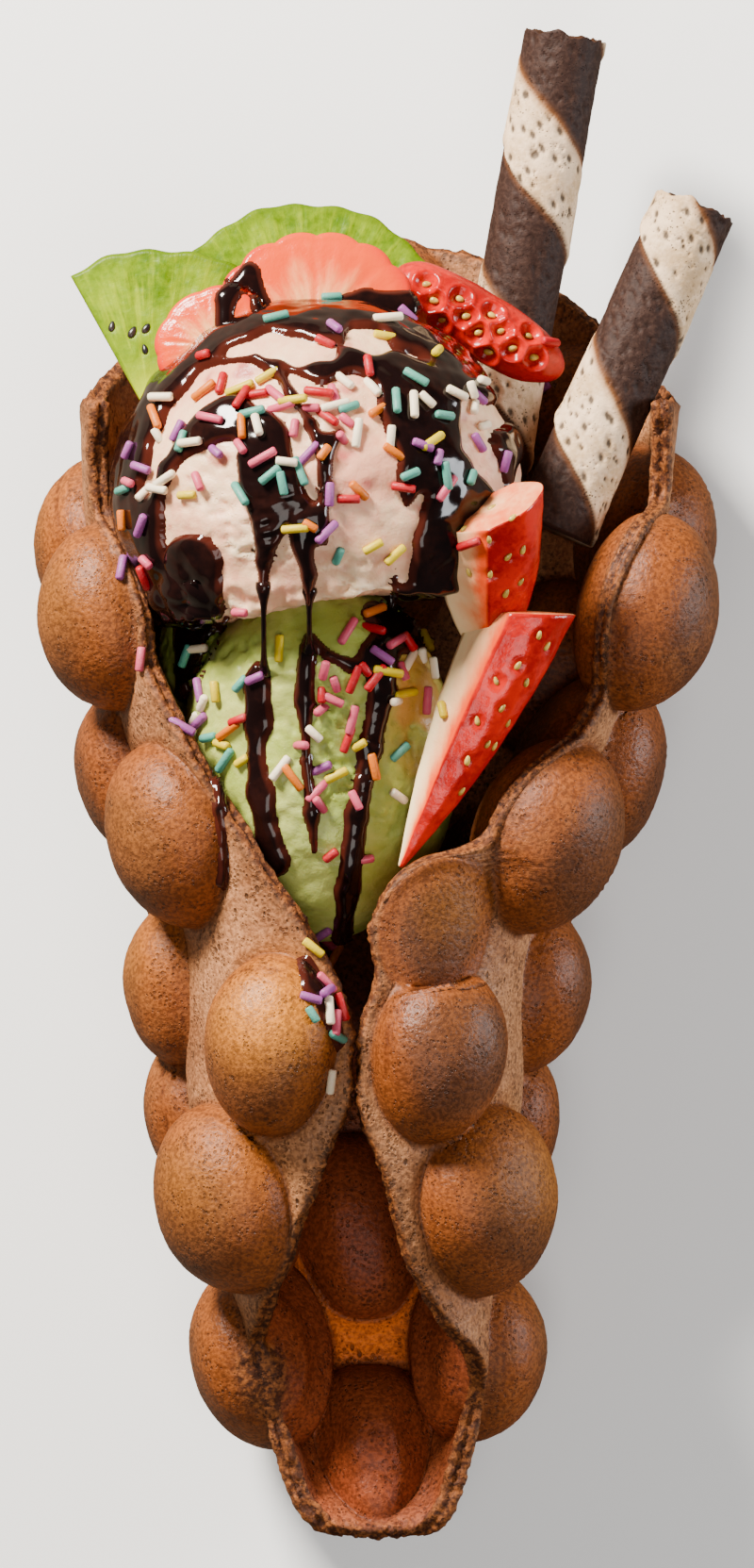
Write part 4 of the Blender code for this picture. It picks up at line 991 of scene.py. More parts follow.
@dataclass
class ChocolateSauce:
    """The sauce over the scoops, the fruit and the waffle's edge.

    Attributes:
        step: how fine its surface is.
        thick: how thick it lies.
        lip: how wide its rounded edge is.
        blend: how softly two runs flow into each other.
        margin: how far outside its outline its mesh goes on.
        coat_jump: the largest step in depth that the coat on the scoop flows over.
        root: how deep it is sunk in what it lies on.
        string_sides: how many sides a string has.
        covers, windows, drips: where sauce lies on the upper scoop, what it leaves free, and
            what runs over the free places again.
        slice_runs, low_runs, edge_runs: runs on the round strawberry slices, on the lower scoop
            and on the waffle's edge.
        strings: X, upper and lower height in millimetres of the strings between the scoops.
    """

    step: float = 0.00040
    thick: float = 0.0015
    lip: float = 0.0019
    blend: float = 0.0005
    margin: float = 0.0009
    coat_jump: float = 0.0030
    root: float = 0.0007
    string_sides: int = 10
    covers: tuple[SauceRun, ...] = (
        ((-38.5, 170.5, 4.6), (-35.6, 180.5, 3.6), (-31.0, 188.5, 4.0), (-24.0, 194.6, 3.6)),
        ((-24.0, 195.6, 3.4), (-14.0, 199.4, 3.6), (0.0, 199.6, 4.0), (10.0, 198.0, 4.2), (18.0, 192.8, 5.2)),
        ((-27.2, 183.0, 8.0), (-15.0, 186.0, 10.0), (1.5, 184.0, 11.0), (14.0, 180.0, 11.5)),
        ((20.0, 182.0, 7.6), (18.5, 174.0, 5.8), (13.5, 166.0, 6.2)),
        ((-28.5, 170.0, 9.0), (-14.5, 173.0, 9.5), (0.5, 172.0, 10.0), (10.0, 168.0, 8.0)),
        ((9.5, 162.0, 6.6), (9.5, 155.0, 6.2), (9.0, 150.0, 6.0)),
        ((-38.0, 168.0, 4.8), (-33.5, 162.0, 5.2), (-30.5, 156.0, 5.6), (-30.0, 151.0, 5.0)),
    )
    windows: tuple[SauceRun, ...] = (
        ((-22.2, 178.4, 1.9), (-25.6, 171.5, 6.0), (-24.8, 164.6, 6.4), (-21.8, 158.4, 5.2), (-18.6, 152.0, 6.4)),
        ((-34.6, 172.3, 0.5), (-32.6, 178.9, 1.0), (-29.4, 184.2, 1.4), (-24.8, 189.0, 2.0),
         (-19.6, 190.9, 2.6), (-15.4, 188.6, 3.0)),
        ((-14.6, 188.4, 3.0), (-11.0, 186.6, 3.2), (-6.0, 184.8, 3.3), (-2.0, 186.6, 3.6), (-0.8, 184.0, 2.6)),
        ((-20.8, 193.6, 1.2), (-14.8, 195.2, 1.6), (-10.2, 194.2, 1.8), (-5.6, 194.0, 1.3)),
        ((-10.4, 182.6, 1.6), (-9.2, 177.0, 1.5), (-8.4, 171.0, 1.1)),
        ((0.2, 181.4, 3.0), (0.2, 176.4, 4.6), (0.1, 169.0, 5.4), (-0.4, 161.0, 4.8), (-1.0, 154.5, 4.8)),
        ((-12.4, 168.4, 1.0), (-12.3, 163.0, 1.4), (-12.4, 157.6, 2.2), (-12.4, 151.5, 3.4)),
        ((9.4, 170.6, 0.3), (7.5, 166.6, 0.8), (6.7, 161.8, 0.7), (6.5, 157.6, 0.3)),
        ((17.0, 185.8, 0.6), (18.3, 182.4, 1.9), (18.4, 179.4, 1.6), (20.0, 176.2, 1.5), (21.8, 172.8, 1.0)),
        ((18.6, 183.6, 1.4), (21.4, 184.2, 1.4)),
        ((-1.6, 196.8, 1.2), (1.6, 196.0, 2.0)),
    )
    drips: tuple[SauceRun, ...] = (
        ((-15.4, 174.8, 4.6), (-14.6, 170.6, 4.8), (-15.2, 165.6, 2.6), (-16.0, 160.6, 1.7), (-16.1, 156.0, 0.8),
         (-16.1, 152.0, 0.6)),
        ((-10.6, 169.0, 2.6), (-9.8, 163.5, 1.8), (-8.8, 158.0, 1.0), (-8.7, 152.5, 0.7)),
        ((-13.8, 191.6, 0.9), (-11.4, 187.0, 1.1), (-8.4, 182.6, 1.1), (-6.5, 178.4, 0.9), (-6.4, 171.0, 0.7)),
        ((-22.6, 193.0, 0.6), (-17.2, 193.2, 0.7), (-14.2, 191.4, 1.0)),
        ((-21.8, 181.8, 1.8), (-27.6, 180.2, 1.0), (-31.6, 175.6, 1.0), (-33.6, 169.6, 1.6)),
    )
    slice_runs: tuple[SauceRun, ...] = (
        ((-22.6, 196.4, 2.0), (-22.3, 203.6, 1.9), (-18.6, 207.8, 1.9), (-16.6, 202.0, 1.7), (-15.4, 196.0, 2.0)),
        ((-16.0, 199.6, 2.2), (-11.5, 201.6, 1.8), (-7.0, 200.6, 2.4), (-3.4, 202.6, 1.6), (0.6, 203.0, 2.6),
         (7.0, 202.6, 2.9)),
    )
    low_runs: tuple[SauceRun, ...] = (
        ((-17.0, 143.2, 1.2), (-17.1, 140.7, 2.2), (-17.0, 133.9, 2.4), (-17.4, 128.4, 1.5), (-16.6, 122.5, 2.4),
         (-15.5, 115.5, 2.2), (-14.4, 111.6, 3.0)),
        ((-9.0, 146.2, 1.7), (-9.5, 138.0, 1.6), (-9.2, 128.0, 1.0), (-8.4, 119.6, 1.3), (-7.9, 113.0, 0.7)),
        ((1.6, 152.2, 2.2), (6.5, 149.6, 4.0), (12.0, 148.6, 3.4)),
        ((4.2, 149.0, 2.4), (2.6, 145.0, 3.4), (3.2, 139.6, 2.3), (1.2, 130.0, 2.0),
         (-0.9, 119.0, 1.9), (-2.5, 107.0, 2.2), (-3.6, 98.0, 2.2)),
        ((-27.8, 160.0, 5.4), (-26.5, 152.7, 4.2), (-27.0, 147.8, 3.4), (-28.5, 142.8, 1.7), (-29.3, 139.0, 0.7)),
        ((-8.6, 148.0, 1.1), (-5.6, 145.2, 1.0), (-2.0, 143.5, 1.2), (3.0, 144.5, 1.6)),
    )
    edge_runs: tuple[SauceRun, ...] = (
        ((-23.4, 126.6, 1.7), (-23.3, 120.0, 1.1), (-22.9, 112.0, 0.9), (-23.0, 108.2, 1.3)),
        ((-9.4, 95.0, 1.6), (-7.9, 91.4, 1.9), (-5.4, 87.0, 1.6), (-3.9, 82.0, 1.2)),
    )
    strings: tuple[Triple, ...] = ((-16.1, 155.6, 142.0), (-8.7, 155.0, 145.4), (4.6, 155.0, 147.0))

    def reach(self, spots: np.ndarray, runs: Sequence[SauceRun]) -> np.ndarray:
        """How far points are outside runs, as seen from the front, negative inside them."""
        total = np.zeros(len(spots))
        for run in runs:
            for start, end in zip(run, run[1:]):
                a, b = np.array(start[:2]) * MM, np.array(end[:2]) * MM
                way = b - a
                share = np.clip((spots - a) @ way / (way @ way), 0.0, 1.0)
                half = (start[2] + (end[2] - start[2]) * share) * MM
                far = np.linalg.norm(spots - a - share[:, None] * way, axis=1) - half
                total += np.exp(-far / self.blend)
        return -self.blend * np.log(np.maximum(total, 1e-90))

    def wander(self, spots: np.ndarray) -> np.ndarray:
        """How unevenly the sauce's outline runs."""
        flat = np.column_stack([spots, np.zeros(len(spots))])
        return 0.00035 + 0.00035 * soft_noise(flat, 170.0, 2) + 0.0005 * soft_noise(flat, 75.0, 1)

    def swell(self, far: np.ndarray, thick: float, flow: np.ndarray | float = 0.0) -> np.ndarray:
        """How far sauce stands out, round at its edge and sunk outside it.

        Args:
            far: how far each point is outside the runs.
            thick: how thick it lies.
            flow: how unevenly it lies, around 0.

        Returns:
            Heights over what it lies on.
        """
        inside = np.clip(-far / self.lip, 0.0, 1.0)
        height = (thick + 0.00035 * flow * inside) * np.sqrt(np.clip(1.0 - (1.0 - inside) ** 2, 0.0, 1.0))
        return np.where(far > 0.0, -0.5 * far, height)

    def coat(self, name: str, middle: Vector, target: BVHTree) -> Piece:
        """Lay the main sauce round the front of the upper scoop, with windows left free and drips over them.

        Args:
            name: the piece's name.
            middle: the scoop's middle.
            target: the scoop's surface.

        Returns:
            The sauce, still upright.
        """
        leans, turns = np.linspace(0.6, 118.0, 170), np.arange(0.0, 360.0, 0.72)
        lean, turn = np.meshgrid(np.radians(leans), np.radians(turns), indexing="ij")
        way = np.stack([np.sin(lean) * np.sin(turn), -np.cos(lean), np.sin(lean) * np.cos(turn)], axis=-1)
        depth = np.full(lean.shape, np.nan)
        for row, column in np.ndindex(lean.shape):
            ahead = Vector(way[row, column])
            hit = target.ray_cast(middle + ahead * 0.08, -ahead)[0]
            if hit is not None:
                depth[row, column] = (hit - middle).length
        depth = self.soften(depth, 4, self.coat_jump)
        base = np.array(middle) + way * np.nan_to_num(depth)[..., None]
        spots = base[..., ::2].reshape(-1, 2)
        covered, free, dripped = (self.reach(spots, runs) for runs in (self.covers, self.windows, self.drips))
        far = np.logaddexp(covered / self.blend, -free / self.blend)
        far = -self.blend * np.logaddexp(-far, -dripped / self.blend)
        behind = base[..., 1].ravel() - (middle.y + 0.006 + 0.004 * soft_noise(base.reshape(-1, 3), 90.0, 2))
        far = (np.maximum(far, behind) + self.wander(spots)).reshape(lean.shape)
        flow = soft_noise(base.reshape(-1, 3), (150.0, 150.0, 45.0), 2).reshape(lean.shape)
        height = self.swell(far, self.thick, flow)
        return self.sheet(name, base + way * height[..., None], far, depth, self.coat_jump, closed=True)

    def string_between(
        self, x: float, top: float, foot: float, target: BVHTree
    ) -> tuple[np.ndarray, np.ndarray]:
        """Middle line and radii of one thin string of sauce between the scoops."""
        ends = []
        for height in (top, foot):
            hit = front_hit(target, x * MM, height * MM)[0]
            ends.append(hit if hit is not None else Vector((x * MM, -0.02, height * MM)))
        share = np.linspace(-0.10, 1.04, 16)
        line = np.array(ends[0]) + (np.array(ends[1]) - np.array(ends[0])) * share[:, None]
        line[:, 1] = ends[0].y + (ends[1].y - ends[0].y) * np.clip(share, 0.0, 1.0) ** 1.6
        radii = 0.00042 + 0.0009 * (np.clip(2.0 * share - 1.0, -1.0, 1.0) ** 4)
        return line, radii

    def hang_strings(self, target: BVHTree) -> Piece:
        """The thin strings of sauce that hang from the upper scoop onto the lower one, upright."""
        points, faces = [], []
        sides = self.string_sides
        turn = np.arange(sides) * 2.0 * math.pi / sides
        circle = np.stack([np.cos(turn), np.sin(turn), 0.0 * turn], axis=1)
        for x, top, foot in self.strings:
            line, radii = self.string_between(x, top, foot, target)
            first = sum(len(part) for part in points)
            rings = line[:, None, :] + circle[None] * radii[:, None, None]
            points.append(np.concatenate([rings.reshape(-1, 3), line[:1], line[-1:]]))
            cap = first + len(line) * sides
            faces += tube_faces(len(line), sides, first, (cap, cap + 1))
        every_point = np.concatenate(points)
        thick = np.full((len(every_point), 3), 0.6)
        return mesh_piece("sauce_strings", every_point, faces, {"Sauce": thick}, laid=False)

    def pour(
        self, name: str, runs: Sequence[SauceRun], target: BVHTree, thick: float, jump: float
    ) -> Piece:
        """Lay runs of sauce on whatever they meet first from the front.

        Args:
            name: the piece's name.
            runs: the runs.
            target: upright surfaces that the sauce lies on.
            thick: how thick it lies.
            jump: the largest step in depth that it flows over.

        Returns:
            The sauce, still upright.
        """
        stops = np.array([stop for run in runs for stop in run]) * MM
        low = stops[:, :2].min(axis=0) - 0.006
        high = stops[:, :2].max(axis=0) + 0.006
        columns, rows = (np.arange(low[axis], high[axis], self.step) for axis in (0, 1))
        x, z = np.meshgrid(columns, rows, indexing="ij")
        spots = np.stack([x.ravel(), z.ravel()], axis=1)
        far = self.reach(spots, runs) + self.wander(spots)
        depth = np.full(len(spots), np.nan)
        for index in np.nonzero(far < self.margin + 0.0012)[0]:
            hit = front_hit(target, *spots[index])[0]
            if hit is not None:
                depth[index] = hit.y
        depth = self.soften(depth.reshape(x.shape), 3, jump)
        far = far.reshape(x.shape)
        slope_x = np.gradient(np.nan_to_num(depth), self.step, axis=0)
        slope_z = np.gradient(np.nan_to_num(depth), self.step, axis=1)
        normal = unit(np.stack([slope_x, -np.ones(x.shape), slope_z], axis=-1))
        points = np.stack([x, depth, z], axis=-1) + normal * self.swell(far, thick)[..., None]
        return self.sheet(name, points, far, depth, jump)

    def soften(self, depth: np.ndarray, rounds: int, jump: float) -> np.ndarray:
        """Even out a map of depths, but not over its steps.

        Args:
            depth: depths, nan where there is nothing.
            rounds: how often it is evened out.
            jump: the largest step that counts as one surface.

        Returns:
            The softer depths.
        """
        for _ in range(rounds):
            total, weight = depth.copy(), np.ones(depth.shape)
            for axis, shift in ((0, 1), (0, -1), (1, 1), (1, -1)):
                beside = np.roll(depth, shift, axis=axis)
                good = np.abs(beside - depth) < jump
                total += np.where(good, beside, 0.0)
                weight += good
            depth = total / weight
        return depth

    def sheet(
        self, name: str, points: np.ndarray, far: np.ndarray, depth: np.ndarray, jump: float, closed: bool = False
    ) -> Piece:
        """Make the sauce's mesh, with its root sunk in what it lies on.

        Args:
            name: the piece's name.
            points: a grid of surface points.
            far: how far each is outside the runs.
            depth: the depth of what it lies on.
            jump: the largest step in depth within one face.
            closed: whether the last column meets the first one.

        Returns:
            The closed sauce, still upright.
        """
        rows, columns = far.shape
        good = (far < self.margin) & ~np.isnan(depth)
        number = np.arange(rows * columns).reshape(rows, columns)
        if closed:
            number = np.concatenate([number, number[:, :1]], axis=1)
        a, b, c, d = number[:-1, :-1], number[1:, :-1], number[1:, 1:], number[:-1, 1:]
        corners = np.stack([a, b, c, d], axis=-1).reshape(-1, 4)
        spread = depth.ravel()[corners]
        keep = good.ravel()[corners].all(axis=1)
        keep &= np.nan_to_num(spread.max(axis=1) - spread.min(axis=1), nan=9.0) < jump
        corners = corners[keep]
        used, packed = np.unique(corners, return_inverse=True)
        flat = points.reshape(-1, 3)[used]
        mesh = bpy.data.meshes.new(name)
        mesh.from_pydata(flat.tolist(), [], packed.reshape(-1, 4).tolist())
        body = smooth_step(-far.ravel()[used], 0.0, self.lip)
        tint_points(mesh, "Sauce", np.repeat(body[:, None], 3, axis=1))
        piece = bpy.data.objects.new(name, mesh)
        bpy.context.scene.collection.objects.link(piece)
        work = bmesh.new()
        work.from_mesh(mesh)
        bmesh.ops.recalc_face_normals(work, faces=work.faces)
        if sum(face.normal.y for face in work.faces) > 0.0:
            bmesh.ops.reverse_faces(work, faces=work.faces)
        work.to_mesh(mesh)
        work.free()
        apply_modifier(piece, "SOLIDIFY", thickness=self.root, offset=-1.0)
        piece.data.shade_smooth()
        return piece


class SugarTint(Enum):
    """Colours of the sugar sprinkles, linear."""

    WHITE = (0.84, 0.70, 0.50)
    PINK = (0.56, 0.07, 0.13)
    LILAC = (0.27, 0.065, 0.24)
    YELLOW = (0.60, 0.44, 0.0)
    ORANGE = (0.58, 0.13, 0.0)
    RED = (0.40, 0.002, 0.010)
    MINT = (0.075, 0.29, 0.22)


@dataclass(frozen=True)
class SprinkleSpot:
    """A group of sprinkles: how many, the middle in X and height, and the spread."""

    count: int
    x: float
    height: float
    wide: float
    tall: float


@dataclass
class SugarSprinkles:
    """Rods of sugar scattered over the ice cream, the sauce and the waffle's edge.

    Attributes:
        radius, shortest, longest: a rod's radius and the range of its length.
        spacing: the least distance between two rods' middles.
        sides: how many sides a rod has.
        steepest: how much a surface has to face the front for a rod to lie on it.
        weights: how often each tint is drawn, in the order of the tints.
        spots: where the rods lie.
    """

    radius: float = 0.00073
    shortest: float = 0.0026
    longest: float = 0.0052
    spacing: float = 0.0021
    sides: int = 8
    steepest: float = 0.20
    weights: tuple[int, ...] = (20, 18, 13, 15, 11, 14, 12)
    spots: tuple[SprinkleSpot, ...] = (
        SprinkleSpot(38, -0.0060, 0.1850, 0.0085, 0.0056),
        SprinkleSpot(16, -0.0210, 0.1830, 0.0085, 0.0050),
        SprinkleSpot(20, 0.0110, 0.1845, 0.0080, 0.0070),
        SprinkleSpot(12, -0.0370, 0.1700, 0.0030, 0.0085),
        SprinkleSpot(9, -0.0050, 0.1680, 0.0075, 0.0060),
        SprinkleSpot(5, 0.0250, 0.1860, 0.0030, 0.0060),
        SprinkleSpot(5, 0.0020, 0.2000, 0.0130, 0.0030),
        SprinkleSpot(22, 0.0020, 0.1430, 0.0070, 0.0042),
        SprinkleSpot(17, -0.0050, 0.1340, 0.0085, 0.0065),
        SprinkleSpot(9, -0.0245, 0.1360, 0.0030, 0.0040),
        SprinkleSpot(8, 0.0010, 0.1240, 0.0080, 0.0045),
        SprinkleSpot(5, -0.0220, 0.1460, 0.0060, 0.0040),
        SprinkleSpot(13, -0.0062, 0.0900, 0.0020, 0.0055),
    )

    def rod(self, middle: Vector, along: Vector, up: Vector, length: float) -> np.ndarray:
        """Points of one rod with rounded ends.

        Args:
            middle: its middle.
            along: the way that it points.
            up: any direction across it.
            length: how long it is.

        Returns:
            Its points, ring after ring, the two tips last.
        """
        across = along.cross(up).normalized()
        lift = across.cross(along).normalized()
        turn = np.arange(self.sides) * 2.0 * math.pi / self.sides
        circle = np.cos(turn)[:, None] * np.array(across) + np.sin(turn)[:, None] * np.array(lift)
        half = 0.5 * length
        rings = []
        stations = ((-half + 0.06 * self.radius, 0.78), (-half + 0.42 * self.radius, 1.0),
                    (half - 0.42 * self.radius, 1.0), (half - 0.06 * self.radius, 0.78))
        for place, size in stations:
            rings.append(np.array(middle) + np.array(along) * place + circle * (self.radius * size))
        tips = [np.array(middle) - np.array(along) * half, np.array(middle) + np.array(along) * half]
        return np.concatenate([*rings, tips])

    def rod_faces(self, first: int) -> list[tuple[int, ...]]:
        """Faces of one rod whose points start at a number."""
        tip = first + 4 * self.sides
        return tube_faces(4, self.sides, first, (tip, tip + 1))

    def build(self, target: BVHTree) -> Piece:
        """Scatter the rods on what they meet first from the front.

        Args:
            target: upright surfaces that they lie on.

        Returns:
            All rods as one piece, laid down.
        """
        draw = random.Random(77)
        points: list[np.ndarray] = []
        colors: list[np.ndarray] = []
        faces: list[tuple[int, ...]] = []
        placed: list[Vector] = []
        tints = list(SugarTint)
        for spot in self.spots:
            done = 0
            for _ in range(spot.count * 9):
                if done == spot.count:
                    break
                x = spot.x + draw.gauss(0.0, 1.0) * spot.wide
                z = spot.height + draw.gauss(0.0, 1.0) * spot.tall
                tint = draw.choices(tints, self.weights)[0]
                heading = draw.uniform(0.0, math.pi)
                length = draw.uniform(self.shortest, self.longest)
                tip_up = draw.uniform(-0.06, 0.16)
                hit, normal = front_hit(target, x, z)
                if hit is None or any((hit - other).length < self.spacing for other in placed):
                    continue
                if normal.y > 0.0:
                    normal = -normal
                if normal.y > -self.steepest:
                    continue
                side = normal.cross(UP).normalized()
                along = Matrix.Rotation(heading, 3, normal) @ side
                along = (along + normal * tip_up).normalized()
                middle = hit + normal * (0.55 * self.radius + 0.4 * abs(tip_up) * length)
                faces += self.rod_faces(sum(len(rod) for rod in points))
                points.append(self.rod(middle, along, normal, length))
                colors.append(np.tile(tint.value, (len(points[-1]), 1)))
                placed.append(hit)
                done += 1
        LOG.info("sprinkles placed: %d", len(placed))
        return mesh_piece("sugar_sprinkles", np.concatenate(points), faces, {"Sugar": np.concatenate(colors)})


@dataclass
class CutFruit:
    """Slices of kiwi and strawberry, and lengthwise strawberry cuts, with their seeds.

    Attributes:
        edge: how round the slices' rims are.
        wedge_corners, wedge_tip: section of a lengthwise cut in shares of its half sizes, and how
            much of it is left at the tip.
        upper_seeds, lower_seeds, right_seeds, kiwi_seeds: X and height in millimetres of the seeds
            that show, seen from the front.
        seed_rings, seed_sides: how fine a seed is.
    """

    edge: float = 0.0010
    wedge_corners: tuple[tuple[float, float], ...] = (
        (-1.0, -0.10), (-0.16, -1.0), (0.55, -0.88), (0.93, -0.42), (1.0, 0.10), (0.62, 0.62), (-0.25, 0.55),
    )
    wedge_tip: float = 0.06
    seed_rings: int = 5
    seed_sides: int = 8
    upper_seeds: tuple[tuple[float, float], ...] = (
        (16.3, 165.9), (20.9, 169.4), (24.2, 167.6), (20.6, 163.7), (26.2, 162.1), (23.7, 160.9),
        (17.1, 158.4), (20.8, 158.1), (25.9, 156.9), (23.4, 155.0),
    )
    lower_seeds: tuple[tuple[float, float], ...] = (
        (28.8, 148.3), (30.2, 146.5), (25.3, 143.4), (21.7, 140.9), (26.8, 140.6), (22.8, 136.4),
        (18.6, 134.4), (23.9, 133.9), (20.5, 130.5), (17.1, 127.9), (21.7, 130.2), (19.4, 125.6),
        (16.3, 122.8), (12.7, 116.9), (11.5, 112.7),
    )
    right_seeds: tuple[tuple[float, float], ...] = (
        (10.4, 206.6), (11.5, 203.5), (16.1, 204.2), (12.6, 199.9), (16.9, 201.0), (21.4, 201.7),
        (18.8, 198.1), (22.8, 198.7), (27.7, 198.3), (20.3, 194.6), (24.6, 195.6), (28.4, 194.1),
    )
    kiwi_seeds: tuple[tuple[float, float], ...] = (
        (-41.4, 199.6), (-38.0, 198.6), (-35.7, 199.2), (-36.0, 195.8), (-32.4, 196.1), (-31.8, 193.9),
    )

    @staticmethod
    def turned(place: Sequence[float], tilts: Sequence[float]) -> np.ndarray:
        """A place with turns about the three axes, as a 4 by 4 array."""
        turn = Matrix.Rotation(math.radians(tilts[2]), 4, "Z")
        turn = turn @ Matrix.Rotation(math.radians(tilts[1]), 4, "Y")
        turn = turn @ Matrix.Rotation(math.radians(tilts[0]), 4, "X")
        return np.array(Matrix.Translation(place) @ turn)

    @staticmethod
    def moved(points: np.ndarray, place: np.ndarray) -> np.ndarray:
        """Points put in a place."""
        return points @ place[:3, :3].T + place[:3, 3]

    def slab(
        self,
        name: str,
        outline: np.ndarray,
        centre: Sequence[float],
        thickness: float,
        place: np.ndarray,
        relief: Callable[[np.ndarray], np.ndarray],
        tint: Callable[[np.ndarray, np.ndarray], np.ndarray],
    ) -> Piece:
        """A slice with round rims and an uneven cut face.

        Args:
            name: the piece's name.
            outline: X and Z of its outline.
            centre: X and Z of the middle that its rings close on.
            thickness: its thickness.
            place: where it goes.
            relief: gives how far the cut face stands out, from X and Z.
            tint: gives three colour values from X and Z, and from how near the outline a point is.

        Returns:
            The slice, upright.
        """
        middle = np.array(centre)
        way = unit(outline - middle)
        reach = np.linalg.norm(outline - middle, axis=1)
        half = 0.5 * thickness
        stations = [(share, None) for share in np.linspace(0.04, 1.0, 34)]
        stations += [(1.0, turn) for turn in np.linspace(0.2, 1.0, 5)]
        rings, spots, shares = [], [], []
        for front in (-1.0, 1.0):
            side_rings = []
            for share, turn in stations:
                inner = np.maximum(reach - self.edge, 0.2 * reach)
                if turn is None:
                    flat = middle + way * (inner * share)[:, None]
                    lift = half + relief(flat) * smooth_step(np.full(len(flat), share), 1.0, 0.86)
                else:
                    bend = 0.5 * math.pi * turn
                    flat = middle + way * (inner + (reach - inner) * math.sin(bend))[:, None]
                    lift = np.full(len(flat), half - self.edge * (1.0 - math.cos(bend)))
                depth = front * lift
                side_rings.append((flat, depth, share if turn is None else 1.0 + turn))
            rings += side_rings if front < 0.0 else side_rings[::-1]
        points = []
        for flat, depth, share in rings:
            points.append(np.column_stack([flat[:, 0], depth, flat[:, 1]]))
            spots.append(flat)
            shares.append(np.full(len(flat), share))
        caps = np.array([[middle[0], -half, middle[1]], [middle[0], half, middle[1]]])
        flat_points = np.concatenate([*points, caps])
        spots_all = np.concatenate([*spots, np.tile(middle, (2, 1))])
        shares_all = np.concatenate([*shares, [0.0, 0.0]])
        cap = len(rings) * len(outline)
        faces = tube_faces(len(rings), len(outline), 0, (cap, cap + 1))
        tones = tint(spots_all, shares_all)
        return mesh_piece(name, self.moved(flat_points, place), faces, {"Fruit": tones}, laid=False)

    def kiwi(self) -> list[Piece]:
        """The two kiwi wedges."""
        pieces = []
        makes = (
            ("kiwi_left_flesh", 0.0275, -33.0, 30.0, 0.0015, 0.0065,
             (-0.0338, 0.0035, 0.1850), (-8.0, 0.0, -10.0)),
            ("kiwi_back_flesh", 0.0252, -50.0, 54.0, 0.0040, 0.0060,
             (-0.0095, 0.0100, 0.1955), (-16.0, 0.0, 0.0)),
        )
        for name, radius, start, end, tip, thickness, place, tilts in makes:
            arc = np.radians(np.linspace(end, start, 90))
            ripple = 1.0 - 0.018 * (0.5 + 0.5 * np.sin(arc * 9.0 + 1.0)) - 0.008 * np.sin(arc * 23.0)
            rind = np.stack([radius * ripple * np.sin(arc), radius * ripple * np.cos(arc)], axis=1)
            left = np.linspace(rind[-1], (-tip, 0.0), 36)[1:]
            right = np.linspace((tip, 0.0), rind[0], 36)[:-1]
            outline = np.concatenate([rind, left, right])
            middle = (0.0, 0.55 * radius)

            def relief(flat: np.ndarray) -> np.ndarray:
                """Low rays and a soft bulge of the flesh."""
                turn = np.arctan2(flat[:, 0], flat[:, 1] + 0.004)
                far = np.hypot(flat[:, 0], flat[:, 1])
                rays = soft_noise(np.column_stack([turn * 9.0, far * 60.0, 0.0 * far]), 1.0, 2)
                return 0.00022 * rays + 0.00012 * soft_noise(np.column_stack([flat, 0.0 * far]), 500.0, 2)

            def tint(flat: np.ndarray, share: np.ndarray) -> np.ndarray:
                """How far from the core, the angle of the rays, and how near the rind."""
                far = np.hypot(flat[:, 0], flat[:, 1]) / radius
                turn = np.arctan2(flat[:, 0], flat[:, 1] + 0.003)
                return np.stack([far, 0.5 + turn / 2.0, smooth_step(far, 0.90, 1.0)], axis=1)

            pieces.append(self.slab(name, outline, middle, thickness, self.turned(place, tilts), relief, tint))
        return pieces

    def berry_slices(self) -> list[Piece]:
        """The two round strawberry slices."""
        pieces = []
        makes = (
            ("strawberry_slice_flesh", 0.0166, 0.0140, 14, 0.0075,
             (-0.0076, -0.0075, 0.2006), (-14.0, 0.0, 0.0), 0.15),
            ("strawberry_left_flesh", 0.0098, 0.0080, 8, 0.0060,
             (-0.0248, -0.0150, 0.1968), (-14.0, -38.0, 0.0), 0.75),
        )
        for name, wide, tall, scallops, thickness, place, tilts, pale in makes:
            turn = np.linspace(0.0, 2.0 * math.pi, 181)[:-1]
            reach = 0.945 + 0.055 * np.abs(np.cos(0.5 * scallops * turn)) ** 0.7
            outline = np.stack([wide * reach * np.cos(turn), tall * reach * np.sin(turn)], axis=1)

            def relief(flat: np.ndarray) -> np.ndarray:
                """Faint rays from the core and a low bulge."""
                around = np.arctan2(flat[:, 1] + 0.25 * tall, flat[:, 0])
                far = np.hypot(flat[:, 0] / wide, flat[:, 1] / tall)
                rays = soft_noise(np.column_stack([around * 5.0, far, 0.0 * far]), 1.0, 2)
                return 0.00018 * rays + 0.0006 * (1.0 - far * far)

            def tint(flat: np.ndarray, share: np.ndarray) -> np.ndarray:
                """Distance from the core, the angle of the rays, and the pale foot."""
                x, z = flat[:, 0] / wide, (flat[:, 1] + 0.35 * tall) / tall
                far = np.hypot(1.15 * x, 0.75 * z)
                around = np.arctan2(z, x)
                foot = pale * smooth_step(flat[:, 1] / tall, -0.1, -0.7)
                return np.stack([np.clip(far, 0.0, 1.3), 0.5 + around / (2.0 * math.pi), foot], axis=1)

            where = self.turned(place, tilts)
            pieces.append(self.slab(name, outline, (0.0, 0.0), thickness, where, relief, tint))
        return pieces

